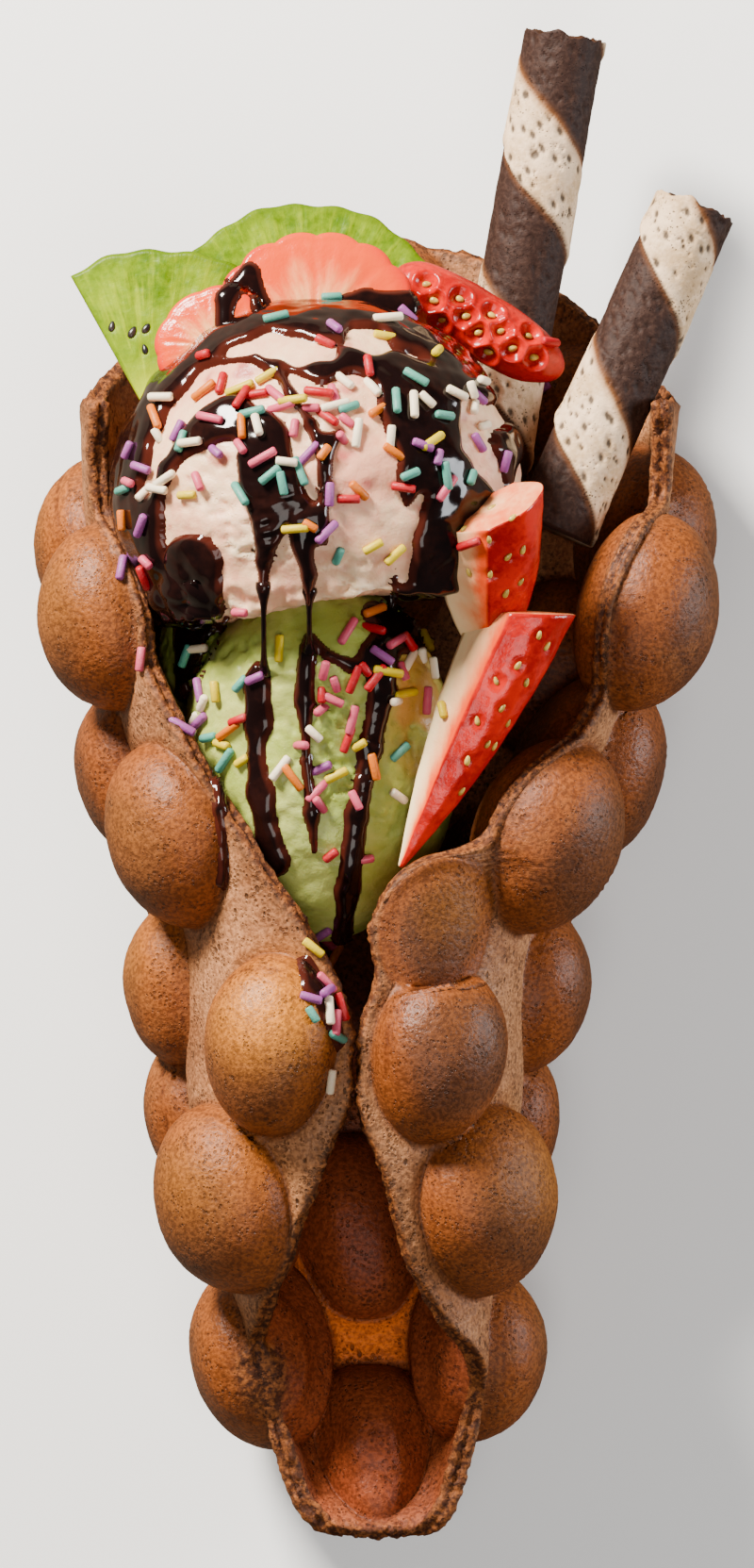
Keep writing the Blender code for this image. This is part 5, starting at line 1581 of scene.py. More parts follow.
    def berry_wedge(
        self,
        name: str,
        top: Vector,
        tip: Vector,
        section: tuple[float, float],
        taper: float,
        roll: float,
        slant: float,
    ) -> Piece:
        """A lengthwise cut of a strawberry: two pale cut faces and the round red skin.

        Args:
            name: the piece's name.
            top: the head end of its axis.
            tip: the tip end of its axis.
            section: half sizes at the head.
            taper: how late it thins.
            roll: how far it is turned about its axis.
            slant: how slanting its head end is.

        Returns:
            The cut, upright.
        """
        corners = np.array(self.wedge_corners)
        cut = np.linspace(corners[0], corners[1], 16)[:-1]
        skin_at = np.linspace(0.0, 4.0, 40)
        before, after = corners[1] * 2.0 - corners[2], corners[5] * 2.0 - corners[4]
        skin_corners = np.concatenate([[before], corners[1:6], [after]])
        index = np.minimum(skin_at.astype(int), 3)
        part = (skin_at - index)[:, None]
        p0, p1, p2, p3 = (skin_corners[index + shift] for shift in range(4))
        skin = 0.5 * (2.0 * p1 + (p2 - p0) * part + (2.0 * p0 - 5.0 * p1 + 4.0 * p2 - p3) * part ** 2
                      + (3.0 * p1 - p0 - 3.0 * p2 + p3) * part ** 3)
        back = np.concatenate([np.linspace(corners[5], corners[6], 10)[1:-1],
                               np.linspace(corners[6], corners[0], 12)[:-1]])
        outline = np.concatenate([cut, skin, back])
        is_skin = np.concatenate([np.zeros(len(cut)), np.ones(len(skin)), np.zeros(len(back))])
        toward = np.concatenate([np.linspace(0.0, 1.0, len(cut)), np.ones(len(skin)),
                                 np.linspace(1.0, 0.0, len(back))])
        axis = tip - top
        length = axis.length
        rings, tones = [], []
        for share in np.concatenate([np.linspace(0.0, 0.9, 64), np.linspace(0.915, 1.0, 10)]):
            size = (1.0 - share ** taper) * (1.0 - self.wedge_tip) + self.wedge_tip
            shape = outline * np.array(section) * size
            rise = slant * shape[:, 0] * (1.0 - share) ** 4
            rings.append(np.column_stack([shape, rise - length * share]))
            tones.append(np.stack([is_skin, toward, np.full(len(shape), share)], axis=1))
        head = []
        for inset, drop in ((0.55, 0.0004), (0.80, 0.0003), (0.93, 0.0002), (0.985, 0.00005)):
            shape = outline * np.array(section) * inset
            head.append(np.column_stack([shape, slant * shape[:, 0] + drop]))
        head_tones = [np.stack([0.0 * is_skin, np.full(len(outline), 0.8), 0.0 * is_skin], axis=1)] * 4
        points = np.concatenate([*head, *rings, [[0.0, 0.0, 0.0005]], [[0.0, 0.0, -length - 0.0003]]])
        tone = np.concatenate([*head_tones, *tones, [[0.0, 0.6, 0.0]], [[1.0, 1.0, 1.0]]])
        rows = len(head) + len(rings)
        cap = rows * len(outline)
        faces = tube_faces(rows, len(outline), 0, (cap, cap + 1))
        turn = (-UP).rotation_difference(axis).to_matrix().to_4x4()
        place = np.array(Matrix.Translation(top) @ turn @ Matrix.Rotation(math.radians(roll), 4, "Z"))
        upright = self.moved(points, place)
        upright += soft_noise(upright, 260.0, 2)[:, None] * 0.00022 * np.array((0.6, -1.0, 0.0))
        return mesh_piece(name, upright, faces, {"Fruit": tone}, laid=False)

    def skin_piece(self) -> Piece:
        """The strawberry piece on the right that shows its skin."""
        piece = unit_ball("strawberry_right_skin", 7)
        way = unit(points_of(piece))
        shape = way * np.array((0.0162, 0.0056, 0.0054))
        share = np.minimum(np.abs(way[:, 0]), 0.9999)
        shape[:, 1:] *= np.sqrt((1.0 - share ** 3.0) / (1.0 - share ** 2.0))[:, None]
        shape += way * (soft_noise(shape, 110.0, 2) * 0.0004)[:, None]
        set_points(piece, self.moved(shape, self.turned((0.0190, 0.0014, 0.2000), (0.0, 31.0, 0.0))))
        count = len(piece.data.vertices)
        tint_points(piece.data, "Fruit", np.stack([np.ones(count), np.ones(count), np.full(count, 0.3)], axis=1))
        piece.data.shade_smooth()
        return piece

    def dent(
        self, piece: Piece, spots: Sequence[tuple[float, float]], deep: float, wide: float, net: float
    ) -> list[tuple[Vector, Vector]]:
        """Press a dimple into the skin round each seed.

        Args:
            piece: the upright piece.
            spots: X and height of each seed in millimetres, as seen from the front.
            deep: how deep a dimple is.
            wide: how wide it is.
            net: how much the skin swells between the dimples.

        Returns:
            Where each seed sits and which way it faces.
        """
        target = tree_of([piece])
        points = points_of(piece)
        normals = np.empty(3 * len(points))
        piece.data.vertices.foreach_get("normal", normals)
        normals = normals.reshape(-1, 3)
        move = np.zeros(len(points))
        seats = []
        for x, height in spots:
            hit, normal = front_hit(target, x * MM, height * MM)
            if hit is None:
                continue
            far = np.linalg.norm(points - np.array(hit), axis=1) / wide
            move -= deep * np.exp(-(far ** 3)) - net * np.exp(-(((far - 1.45) / 0.35) ** 2))
            seats.append((hit - normal * (0.72 * deep), normal))
        set_points(piece, points + normals * move[:, None])
        return seats

    def seeds(
        self, name: str, seats: Sequence[tuple[Vector, Vector]], size: tuple[float, float, float], along: Vector
    ) -> Piece:
        """Small seeds, one in each seat.

        Args:
            name: the piece's name.
            seats: where each seed sits and which way it faces.
            size: half length, half width and half height.
            along: the way that the seeds point.

        Returns:
            All seeds as one piece, laid down.
        """
        draw = random.Random(9)
        rings, sides = self.seed_rings, self.seed_sides
        points, faces = [], []
        for number, (seat, normal) in enumerate(seats):
            lean = Matrix.Rotation(draw.uniform(-0.5, 0.5), 3, normal) @ along
            side = normal.cross(lean).normalized()
            length = side.cross(normal).normalized()
            grow = draw.uniform(0.88, 1.10)
            first = number * (rings * sides + 2)
            for ring in range(rings):
                place = math.cos(math.pi * (ring + 1) / (rings + 1))
                spread = math.sin(math.pi * (ring + 1) / (rings + 1)) * (1.0 - 0.22 * place)
                for corner in range(sides):
                    turn = 2.0 * math.pi * corner / sides
                    spot = seat + length * (size[0] * grow * place)
                    spot += side * (size[1] * grow * spread * math.cos(turn))
                    points.append(tuple(spot + normal * (size[2] * grow * spread * math.sin(turn))))
            points.append(tuple(seat + length * (size[0] * grow)))
            points.append(tuple(seat - length * (size[0] * grow)))
            cap = first + rings * sides
            faces += tube_faces(rings, sides, first, (cap, cap + 1))
        return mesh_piece(name, np.array(points), faces)

    def build(self) -> tuple[list[Piece], list[Piece], list[Piece], Piece]:
        """Make all fruit, upright but for the seeds.

        Returns:
            The kiwi pieces, the strawberry pieces, the seeds of the last three strawberry pieces,
            and the kiwi seeds.
        """
        kiwis = self.kiwi()
        slices = self.berry_slices()
        upper = self.berry_wedge("strawberry_upper_cut", Vector((0.0203, -0.0335, 0.1690)),
                                 Vector((0.0205, -0.0200, 0.1430)), (0.0088, 0.0068), 2.6, 12.0, 0.38)
        lower = self.berry_wedge("strawberry_lower_cut", Vector((0.0262, -0.0255, 0.1520)),
                                 Vector((0.0062, -0.0225, 0.1108)), (0.0076, 0.0064), 1.9, -6.0, 0.45)
        right = self.skin_piece()
        up, across = Vector((0.10, 0.0, 1.0)).normalized(), Vector((1.0, 0.0, 0.1))
        cut_dent = (0.00045, 0.0011, 0.0)
        plans = (
            ("strawberry_upper_seeds", upper, self.upper_seeds, cut_dent, (0.00085, 0.00048, 0.00034), up),
            ("strawberry_lower_seeds", lower, self.lower_seeds, cut_dent, (0.00085, 0.00046, 0.00034), up),
            ("strawberry_right_seeds", right, self.right_seeds, (0.0013, 0.00150, 0.00030),
             (0.00078, 0.00056, 0.00042), across),
            ("kiwi_seeds", kiwis[0], self.kiwi_seeds, (0.0003, 0.0009, 0.0), (0.00105, 0.00062, 0.00040), up),
        )
        seeds = []
        for name, piece, spots, dent, size, along in plans:
            seeds.append(self.seeds(name, self.dent(piece, spots, *dent), size, along))
        return kiwis, [*slices, upper, lower, right], seeds[:3], seeds[3]


Socket = bpy.types.NodeSocket
Feed = Socket | Sequence[float] | float  # what an input gets: the socket that feeds it, or its value


class Sketch:
    """Places and joins the shader nodes of one material or node group."""

    def __init__(self, tree: bpy.types.NodeTree) -> None:
        """Work on a node tree."""
        self.tree = tree

    def feed(self, node: bpy.types.Node, feeds: Mapping[str | int, Feed]) -> bpy.types.Node:
        """Give a node's inputs their values, or the sockets that feed them."""
        for name, value in feeds.items():
            if isinstance(value, Socket):
                self.tree.links.new(value, node.inputs[name])
            else:
                node.inputs[name].default_value = value
        return node

    def node(
        self, kind: str, settings: Mapping[str, object] | None = None, feeds: Mapping[str | int, Feed] | None = None
    ) -> bpy.types.Node:
        """Add one node.

        Args:
            kind: the node's type.
            settings: its plain settings.
            feeds: what each input gets.

        Returns:
            The node.
        """
        made = self.tree.nodes.new(kind)
        for name, value in (settings or {}).items():
            setattr(made, name, value)
        return self.feed(made, feeds or {})

    def mix(self, share: Feed, first: Feed, second: Feed, way: str = "MIX") -> Socket:
        """Blend two colours."""
        colors = [(*one, 1.0) if isinstance(one, tuple) and len(one) == 3 else one for one in (first, second)]
        feeds = {0: share, 6: colors[0], 7: colors[1]}
        return self.node("ShaderNodeMix", {"data_type": "RGBA", "blend_type": way}, feeds).outputs[2]

    def math(self, kind: str, first: Feed, second: Feed = 0.0) -> Socket:
        """Work out one number."""
        return self.node("ShaderNodeMath", {"operation": kind}, {0: first, 1: second}).outputs[0]

    def times(self, first: Feed, second: Feed) -> Socket:
        """A product."""
        return self.math("MULTIPLY", first, second)

    def plus(self, first: Feed, second: Feed) -> Socket:
        """A sum."""
        return self.math("ADD", first, second)

    def minus(self, first: Feed, second: Feed) -> Socket:
        """A difference."""
        return self.math("SUBTRACT", first, second)

    def step(self, value: Feed, low: float, high: float, bottom: float = 0.0, top: float = 1.0) -> Socket:
        """A soft step of a value from low to high."""
        feeds = {"Value": value, "From Min": low, "From Max": high, "To Min": bottom, "To Max": top}
        return self.node("ShaderNodeMapRange", {"interpolation_type": "SMOOTHSTEP"}, feeds).outputs[0]

    def noise(self, where: Feed, scale: Feed, detail: float = 3.0, rough: float = 0.55) -> Socket:
        """Cloudy noise between 0 and 1."""
        feeds = {"Vector": where, "Scale": scale, "Detail": detail, "Roughness": rough}
        return self.node("ShaderNodeTexNoise", None, feeds).outputs["Fac"]

    def join(self, x: Feed, y: Feed) -> Socket:
        """A place from two numbers."""
        return self.node("ShaderNodeCombineXYZ", None, {"X": x, "Y": y}).outputs[0]

    def place(self, stretch: tuple[float, float, float] = (1.0, 1.0, 1.0)) -> Socket:
        """Object coordinates, stretched."""
        coordinates = self.node("ShaderNodeTexCoord").outputs["Object"]
        return self.node("ShaderNodeMapping", None, {"Vector": coordinates, "Scale": stretch}).outputs[0]

    def tint(self, name: str) -> tuple[Socket, ...]:
        """Red, green, blue and alpha of a colour stored on the mesh."""
        stored = self.node("ShaderNodeAttribute", {"attribute_name": name})
        parts = self.node("ShaderNodeSeparateColor", None, {"Color": stored.outputs["Color"]})
        return (*parts.outputs[:3], stored.outputs["Alpha"])

    def group(self, tree: bpy.types.NodeTree, **feeds: Feed) -> Socket:
        """Place a shared node group and give its one output."""
        return self.node("ShaderNodeGroup", {"node_tree": tree}, feeds).outputs[0]

    def bump(self, height: Feed, distance: float, strength: float) -> Socket:
        """A normal from a height."""
        feeds = {"Height": height, "Distance": distance, "Strength": strength}
        return self.node("ShaderNodeBump", None, feeds).outputs[0]


class SharedEffects:
    """Node groups that several finishes use, each built once."""

    def __init__(self) -> None:
        """Build the groups."""
        self.pores = self.make_pores()
        self.mottle = self.make_mottle()

    @staticmethod
    def start(name: str, inputs: Mapping[str, float], output: str) -> tuple[Sketch, bpy.types.Node, Socket]:
        """Start a group with a Vector input, number inputs and one number output.

        Args:
            name: the group's name.
            inputs: its number inputs and what they are at first.
            output: its output's name.

        Returns:
            The group's sketch, the node of its inputs, and the socket that its result goes to.
        """
        tree = bpy.data.node_groups.new(name, "ShaderNodeTree")
        tree.interface.new_socket("Vector", in_out="INPUT", socket_type="NodeSocketVector")
        for label, value in inputs.items():
            tree.interface.new_socket(label, in_out="INPUT", socket_type="NodeSocketFloat").default_value = value
        tree.interface.new_socket(output, in_out="OUTPUT", socket_type="NodeSocketFloat")
        sketch = Sketch(tree)
        return sketch, sketch.node("NodeGroupInput"), sketch.node("NodeGroupOutput").inputs[output]

    def make_pores(self) -> bpy.types.NodeTree:
        """Small round pores of uneven size: a mask that is 1 in a pore."""
        sketch, start, end = self.start("baked_pores", {"Scale": 900.0, "Amount": 0.5}, "Mask")
        place, scale, amount = start.outputs[:3]
        spots = sketch.node("ShaderNodeTexVoronoi", None, {"Vector": place, "Scale": scale})
        wide = sketch.node("ShaderNodeTexNoise", None, {"Vector": place, "Scale": 260.0, "Detail": 2.0})
        reach = sketch.times(sketch.step(wide.outputs["Fac"], 0.40, 0.70, 0.06, 0.30), amount)
        mask = sketch.step(sketch.minus(reach, spots.outputs["Distance"]), -0.06, 0.08)
        sketch.tree.links.new(mask, end)
        return sketch.tree

    def make_mottle(self) -> bpy.types.NodeTree:
        """Cloudy unevenness, wide and fine, around one half."""
        sketch, start, end = self.start("uneven_tone", {"Scale": 60.0}, "Tone")
        place, scale = start.outputs[:2]
        tones = []
        for size, detail in ((scale, 4.0), (sketch.times(scale, 9.0), 3.0)):
            feeds = {"Vector": place, "Scale": size, "Detail": detail}
            tones.append(sketch.node("ShaderNodeTexNoise", None, feeds).outputs["Fac"])
        total = sketch.plus(sketch.times(tones[0], 0.7), sketch.times(tones[1], 0.3))
        sketch.tree.links.new(total, end)
        return sketch.tree


def new_finish(name: str, roughness: float, **constants: Feed) -> tuple[bpy.types.Material, Sketch, bpy.types.Node]:
    """Start a material.

    Args:
        name: its name.
        roughness: its plain roughness.
        constants: other plain values of the shader, with _ for spaces.

    Returns:
        The material, its sketch and its shader.
    """
    material = bpy.data.materials.new(name)
    material.use_nodes = True
    shader = material.node_tree.nodes["Principled BSDF"]
    shader.inputs["Roughness"].default_value = roughness
    for label, value in constants.items():
        shader.inputs[label.replace("_", " ")].default_value = value
    return material, Sketch(material.node_tree), shader


@dataclass(frozen=True)
class WaffleCrust:
    """Baked waffle: brown bubbles with a darker top, greyer flats, browned creases, crumbly edges; painted yellow
    highlight on the bubbles' upper parts, painted shade deep inside the cone, painted glow where light shines
    through the sheet low inside.
    """

    top: Color = (0.102, 0.032, 0.011)
    shoulder: Color = (0.200, 0.052, 0.010)
    pale: Color = (0.225, 0.076, 0.021)
    # painted highlight on the bubbles' upper parts
    highlight_yellow: Color = (0.640, 0.220, 0.012)
    flat_light: Color = (0.400, 0.180, 0.080)
    flat_dark: Color = (0.250, 0.098, 0.038)
    baked: Color = (0.085, 0.019, 0.004)
    crumb: Color = (0.240, 0.078, 0.018)
    crumb_dark: Color = (0.030, 0.009, 0.003)
    # painted shade deep inside the cone
    deep: Color = (0.270, 0.052, 0.016)
    # painted light shining through the sheet low inside the cone
    through_light: Color = (0.820, 0.170, 0.006)
    pore: Color = (0.022, 0.007, 0.002)
    shade_dark: Color = (0.40, 0.33, 0.28)
    shade_light: Color = (1.45, 1.42, 1.36)

    def body(self, sketch: Sketch, tone: Socket, place: Socket) -> Socket:
        """Colour of the bubbles and the flats between them, with the painted highlight, painted shade and painted
        glow.
        """
        browned, flat, edge, deep = sketch.tint("Tone")
        highlit, dome, glow, _ = sketch.tint("Look")
        ring = sketch.step(sketch.plus(dome, sketch.times(tone, 0.16)), 0.40, 0.60)
        bubble = sketch.mix(ring, self.top, self.shoulder)
        bubble = sketch.mix(sketch.step(tone, 0.52, 0.70, 0.0, 0.7), bubble, self.pale)
        level = sketch.mix(sketch.step(tone, 0.40, 0.60), self.flat_light, self.flat_dark)
        color = sketch.mix(flat, bubble, level)
        # Painted highlight on the bubbles' upper parts.
        color = sketch.mix(sketch.times(highlit, 0.75), color, self.highlight_yellow)
        # Painted shade deep inside the cone.
        color = sketch.mix(sketch.times(deep, 0.80), color, self.deep)
        # Painted glow where light shines through the sheet.
        color = sketch.mix(sketch.times(sketch.times(glow, deep), flat), color, self.through_light)
        streaks = sketch.noise(sketch.join(sketch.times(dome, 60.0), sketch.times(tone, 3.0)), 1.0, 2.0)
        near_crease = sketch.times(sketch.step(dome, 0.46, 0.60), sketch.step(dome, 0.72, 0.63))
        streaked = sketch.times(near_crease, sketch.step(streaks, 0.46, 0.60))
        color = sketch.mix(sketch.times(streaked, 0.28), color, self.baked)
        color = sketch.mix(sketch.step(browned, 0.05, 1.0, 0.0, 0.85), color, self.baked)
        crumbs = sketch.step(sketch.noise(place, 900.0, 3.0, 0.6), 0.42, 0.60)
        return sketch.mix(sketch.times(edge, 0.72), color, sketch.mix(crumbs, self.crumb_dark, self.crumb))

    def material(self, effects: SharedEffects) -> bpy.types.Material:
        """The crust's material."""
        material, sketch, shader = new_finish("baked_waffle", 0.55, Specular_IOR_Level=0.24)
        place = sketch.place()
        _, flat, edge, _ = sketch.tint("Tone")
        tone = sketch.group(effects.mottle, Vector=place, Scale=38.0)
        fine = sketch.noise(place, 1500.0, 3.0, 0.6)
        shade = sketch.mix(sketch.step(fine, 0.36, 0.64), self.shade_dark, self.shade_light)
        color = sketch.mix(0.60, self.body(sketch, tone, place), shade, "MULTIPLY")
        amount = sketch.plus(sketch.times(flat, 0.30), 1.30)
        small = sketch.group(effects.pores, Vector=place, Scale=1250.0, Amount=amount)
        stretched = sketch.place((1.0, 0.6, 1.0))
        big = sketch.group(effects.pores, Vector=stretched, Scale=640.0, Amount=sketch.times(flat, 0.9))
        holes = sketch.math("MAXIMUM", sketch.times(small, 0.66), big)
        height = sketch.minus(sketch.times(fine, 0.50), holes)
        height = sketch.plus(height, sketch.times(sketch.noise(place, 520.0, 3.0, 0.6), 0.8))
        sketch.feed(shader, {
            "Base Color": sketch.mix(sketch.times(holes, 0.72), color, self.pore),
            "Normal": sketch.bump(height, 0.00040, 0.75),
            "Roughness": sketch.plus(sketch.step(tone, 0.35, 0.65, 0.40, 0.56), sketch.times(edge, 0.2)),
        })
        return material


@dataclass(frozen=True)
class CreamFinish:
    """Ice cream: soft, lightly frosted, with flecks and a crumbly part."""

    name: str
    body: Color
    shade: Color
    fleck: Color
    torn: Color
    side: Color

    def material(self, effects: SharedEffects) -> bpy.types.Material:
        """The ice cream's material."""
        material, sketch, shader = new_finish(
            self.name, 0.42, Specular_IOR_Level=0.45, Subsurface_Weight=0.35, Subsurface_Scale=0.0022,
            Subsurface_Radius=(1.0, 0.75, 0.45))
        place = sketch.place()
        berry, torn, side, _ = sketch.tint("Cream")
        tone = sketch.group(effects.mottle, Vector=place, Scale=75.0)
        color = sketch.mix(sketch.step(tone, 0.36, 0.62), self.body, self.shade)
        speck = sketch.step(sketch.noise(place, 1100.0, 2.0), 0.70, 0.78)
        for mask, share, tint in ((side, 0.9, self.side), (torn, 0.75, self.torn), (berry, 0.75, self.fleck),
                                  (speck, 0.35, self.fleck)):
            color = sketch.mix(sketch.times(mask, share), color, tint)
        pits = sketch.group(effects.pores, Vector=place, Scale=1100.0, Amount=sketch.plus(torn, 0.35))
        height = sketch.minus(sketch.noise(place, 1500.0, 3.0, 0.65), pits)
        sketch.feed(shader, {
            "Base Color": color,
            "Normal": sketch.bump(height, 0.00022, 0.55),
            "Roughness": sketch.step(torn, 0.0, 0.8, 0.36, 0.62),
        })
        return material


@dataclass(frozen=True)
class SauceGloss:
    """Dark chocolate sauce: near black, wet, reddish brown where it thins out."""

    dark: Color = (0.0060, 0.0020, 0.0018)
    warm: Color = (0.0140, 0.0036, 0.0026)
    thin: Color = (0.0500, 0.0090, 0.0050)

    def material(self, effects: SharedEffects) -> bpy.types.Material:
        """The sauce's material."""
        material, sketch, shader = new_finish("chocolate_sauce", 0.10, Specular_IOR_Level=0.42, IOR=1.38)
        place = sketch.place()
        tone = sketch.group(effects.mottle, Vector=place, Scale=90.0)
        color = sketch.mix(sketch.step(tone, 0.45, 0.65), self.dark, self.warm)
        sketch.feed(shader, {
            "Base Color": sketch.mix(sketch.step(sketch.tint("Sauce")[0], 0.45, 0.0), color, self.thin),
            "Normal": sketch.bump(sketch.noise(place, 150.0, 2.0), 0.0010, 0.30),
        })
        return material


@dataclass(frozen=True)
class SugarShell:
    """Coloured sugar, with a dusty, slightly uneven shell."""

    dust: Color = (0.90, 0.80, 0.70)

    def material(self, effects: SharedEffects) -> bpy.types.Material:
        """The sprinkles' material."""
        material, sketch, shader = new_finish(
            "coloured_sugar", 0.42, Specular_IOR_Level=0.24, Subsurface_Weight=0.10, Subsurface_Scale=0.0008)
        place = sketch.place()
        stored = sketch.node("ShaderNodeAttribute", {"attribute_name": "Sugar"}).outputs["Color"]
        tone = sketch.group(effects.mottle, Vector=place, Scale=500.0)
        sketch.feed(shader, {
            "Base Color": sketch.mix(sketch.step(tone, 0.45, 0.75, 0.0, 0.06), stored, self.dust),
            "Normal": sketch.bump(sketch.noise(place, 2200.0, 2.0), 0.00012, 0.6),
        })
        return material


@dataclass(frozen=True)
class BerryFinish:
    """Strawberry: glossy red skin, pale rayed flesh."""

    skin: Color = (0.340, 0.001, 0.001)
    skin_light: Color = (0.600, 0.008, 0.002)
    flesh: Color = (0.760, 0.060, 0.003)
    pale: Color = (0.900, 0.320, 0.120)
    core: Color = (0.950, 0.450, 0.170)
    cut_light: Color = (0.980, 0.720, 0.400)

    def material(self, effects: SharedEffects, rayed: bool) -> bpy.types.Material:
        """The material of a round slice, or of a lengthwise cut.

        Args:
            effects: the shared node groups.
            rayed: whether it is a round slice with rays from the core.

        Returns:
            The material.
        """
        material, sketch, shader = new_finish(
            "strawberry_slice_flesh" if rayed else "strawberry_cut_and_skin", 0.22, Specular_IOR_Level=0.34,
            Subsurface_Weight=0.12, Subsurface_Scale=0.0014, Subsurface_Radius=(1.0, 0.35, 0.22))
        place = sketch.place()
        first, second, third, _ = sketch.tint("Fruit")
        if rayed:
            rays = sketch.noise(sketch.join(sketch.times(second, 26.0), sketch.times(first, 1.6)), 1.0, 3.0, 0.6)
            reach = sketch.plus(first, sketch.times(sketch.minus(rays, 0.5), -1.1))
            color = sketch.mix(sketch.step(reach, 0.10, 0.85), self.core, self.flesh)
            color = sketch.mix(sketch.step(first, 0.95, 1.22), color, self.skin_light)
            color = sketch.mix(third, color, self.core)
        else:
            tone = sketch.group(effects.mottle, Vector=place, Scale=120.0)
            streak = sketch.noise(sketch.place((1.0, 0.35, 1.0)), 420.0, 3.0)
            inner = sketch.plus(second, sketch.times(sketch.minus(streak, 0.5), 0.5))
            cut = sketch.mix(sketch.step(inner, 0.05, 0.95), self.cut_light, self.pale)
            cut = sketch.mix(sketch.step(inner, 0.62, 1.02), cut, self.flesh)
            color = sketch.mix(first, cut, sketch.mix(sketch.step(tone, 0.40, 0.62), self.skin, self.skin_light))
        normal = sketch.bump(sketch.noise(place, 1400.0, 2.0), 0.00016, 0.45)
        sketch.feed(shader, {"Base Color": color, "Normal": normal})
        return material


@dataclass(frozen=True)
class KiwiFinish:
    """Kiwi flesh: pale core, bright green flesh with fine light rays, a darker rind side."""

    core: Color = (0.360, 0.460, 0.002)
    flesh: Color = (0.068, 0.146, 0.0)
    bright: Color = (0.165, 0.262, 0.0)
    rind: Color = (0.070, 0.120, 0.0)

    def material(self, effects: SharedEffects) -> bpy.types.Material:
        """The kiwi's material."""
        material, sketch, shader = new_finish(
            "kiwi_flesh", 0.36, Specular_IOR_Level=0.08, Subsurface_Weight=0.05, Subsurface_Scale=0.0018,
            Subsurface_Radius=(0.6, 1.0, 0.25))
        place = sketch.place()
        far, turn, rind, _ = sketch.tint("Fruit")
        rays = sketch.noise(sketch.join(sketch.times(turn, 30.0), sketch.times(far, 2.2)), 1.0, 3.0, 0.6)
        tone = sketch.group(effects.mottle, Vector=place, Scale=110.0)
        color = sketch.mix(sketch.step(tone, 0.38, 0.62), self.flesh, self.bright)
        color = sketch.mix(sketch.step(rays, 0.50, 0.70, 0.0, 0.45), color, self.core)
        color = sketch.mix(sketch.step(far, 0.42, 0.10), color, self.core)
        height = sketch.plus(rays, sketch.times(sketch.noise(place, 900.0, 2.0), 0.6))
        sketch.feed(shader, {
            "Base Color": sketch.mix(sketch.times(rind, 0.6), color, self.rind),
            "Normal": sketch.bump(height, 0.0003, 0.5),
        })
        return material


@dataclass(frozen=True)
class SeedFinish:
    """Shiny seeds of one colour with darker ends."""

    name: str
    body: Color
    dark: Color

    def material(self) -> bpy.types.Material:
        """The seeds' material."""
        material, sketch, shader = new_finish(self.name, 0.28, Specular_IOR_Level=0.5)
        tone = sketch.step(sketch.noise(sketch.place(), 700.0, 2.0), 0.40, 0.62)
        sketch.feed(shader, {"Base Color": sketch.mix(tone, self.body, self.dark)})
        return material


@dataclass(frozen=True)
class WaferFinish:
    """Rolled wafer: a cream ribbon wound round chocolate, full of pores."""

    cream: Color = (0.780, 0.560, 0.360)
    cream_shade: Color = (0.520, 0.340, 0.180)
    chocolate: Color = (0.024, 0.010, 0.007)
    chocolate_light: Color = (0.042, 0.020, 0.014)
    toast: Color = (0.260, 0.090, 0.022)
    pore: Color = (0.012, 0.005, 0.003)

    def material(self, effects: SharedEffects) -> bpy.types.Material:
        """The wafer's material."""
        material, sketch, shader = new_finish("rolled_wafer", 0.62, Specular_IOR_Level=0.16)
        place = sketch.place()
        cream, pores, toast, _ = sketch.tint("Wafer")
        tone = sketch.group(effects.mottle, Vector=place, Scale=150.0)
        fine = sketch.noise(place, 1300.0, 3.0, 0.6)
        light = sketch.mix(sketch.step(tone, 0.42, 0.66), self.cream, self.cream_shade)
        dark = sketch.mix(sketch.step(fine, 0.40, 0.66), self.chocolate, self.chocolate_light)
        color = sketch.mix(sketch.times(toast, 0.55), sketch.mix(cream, dark, light), self.toast)
        small = sketch.group(effects.pores, Vector=place, Scale=1700.0, Amount=1.0)
        holes = sketch.math("MAXIMUM", pores, sketch.times(small, 0.7))
        height = sketch.minus(fine, sketch.times(holes, 1.4))
        sketch.feed(shader, {
            "Base Color": sketch.mix(sketch.step(holes, 0.25, 0.85, 0.0, 0.88), color, self.pore),
            "Normal": sketch.bump(height, 0.00022, 0.7),
        })
        return material


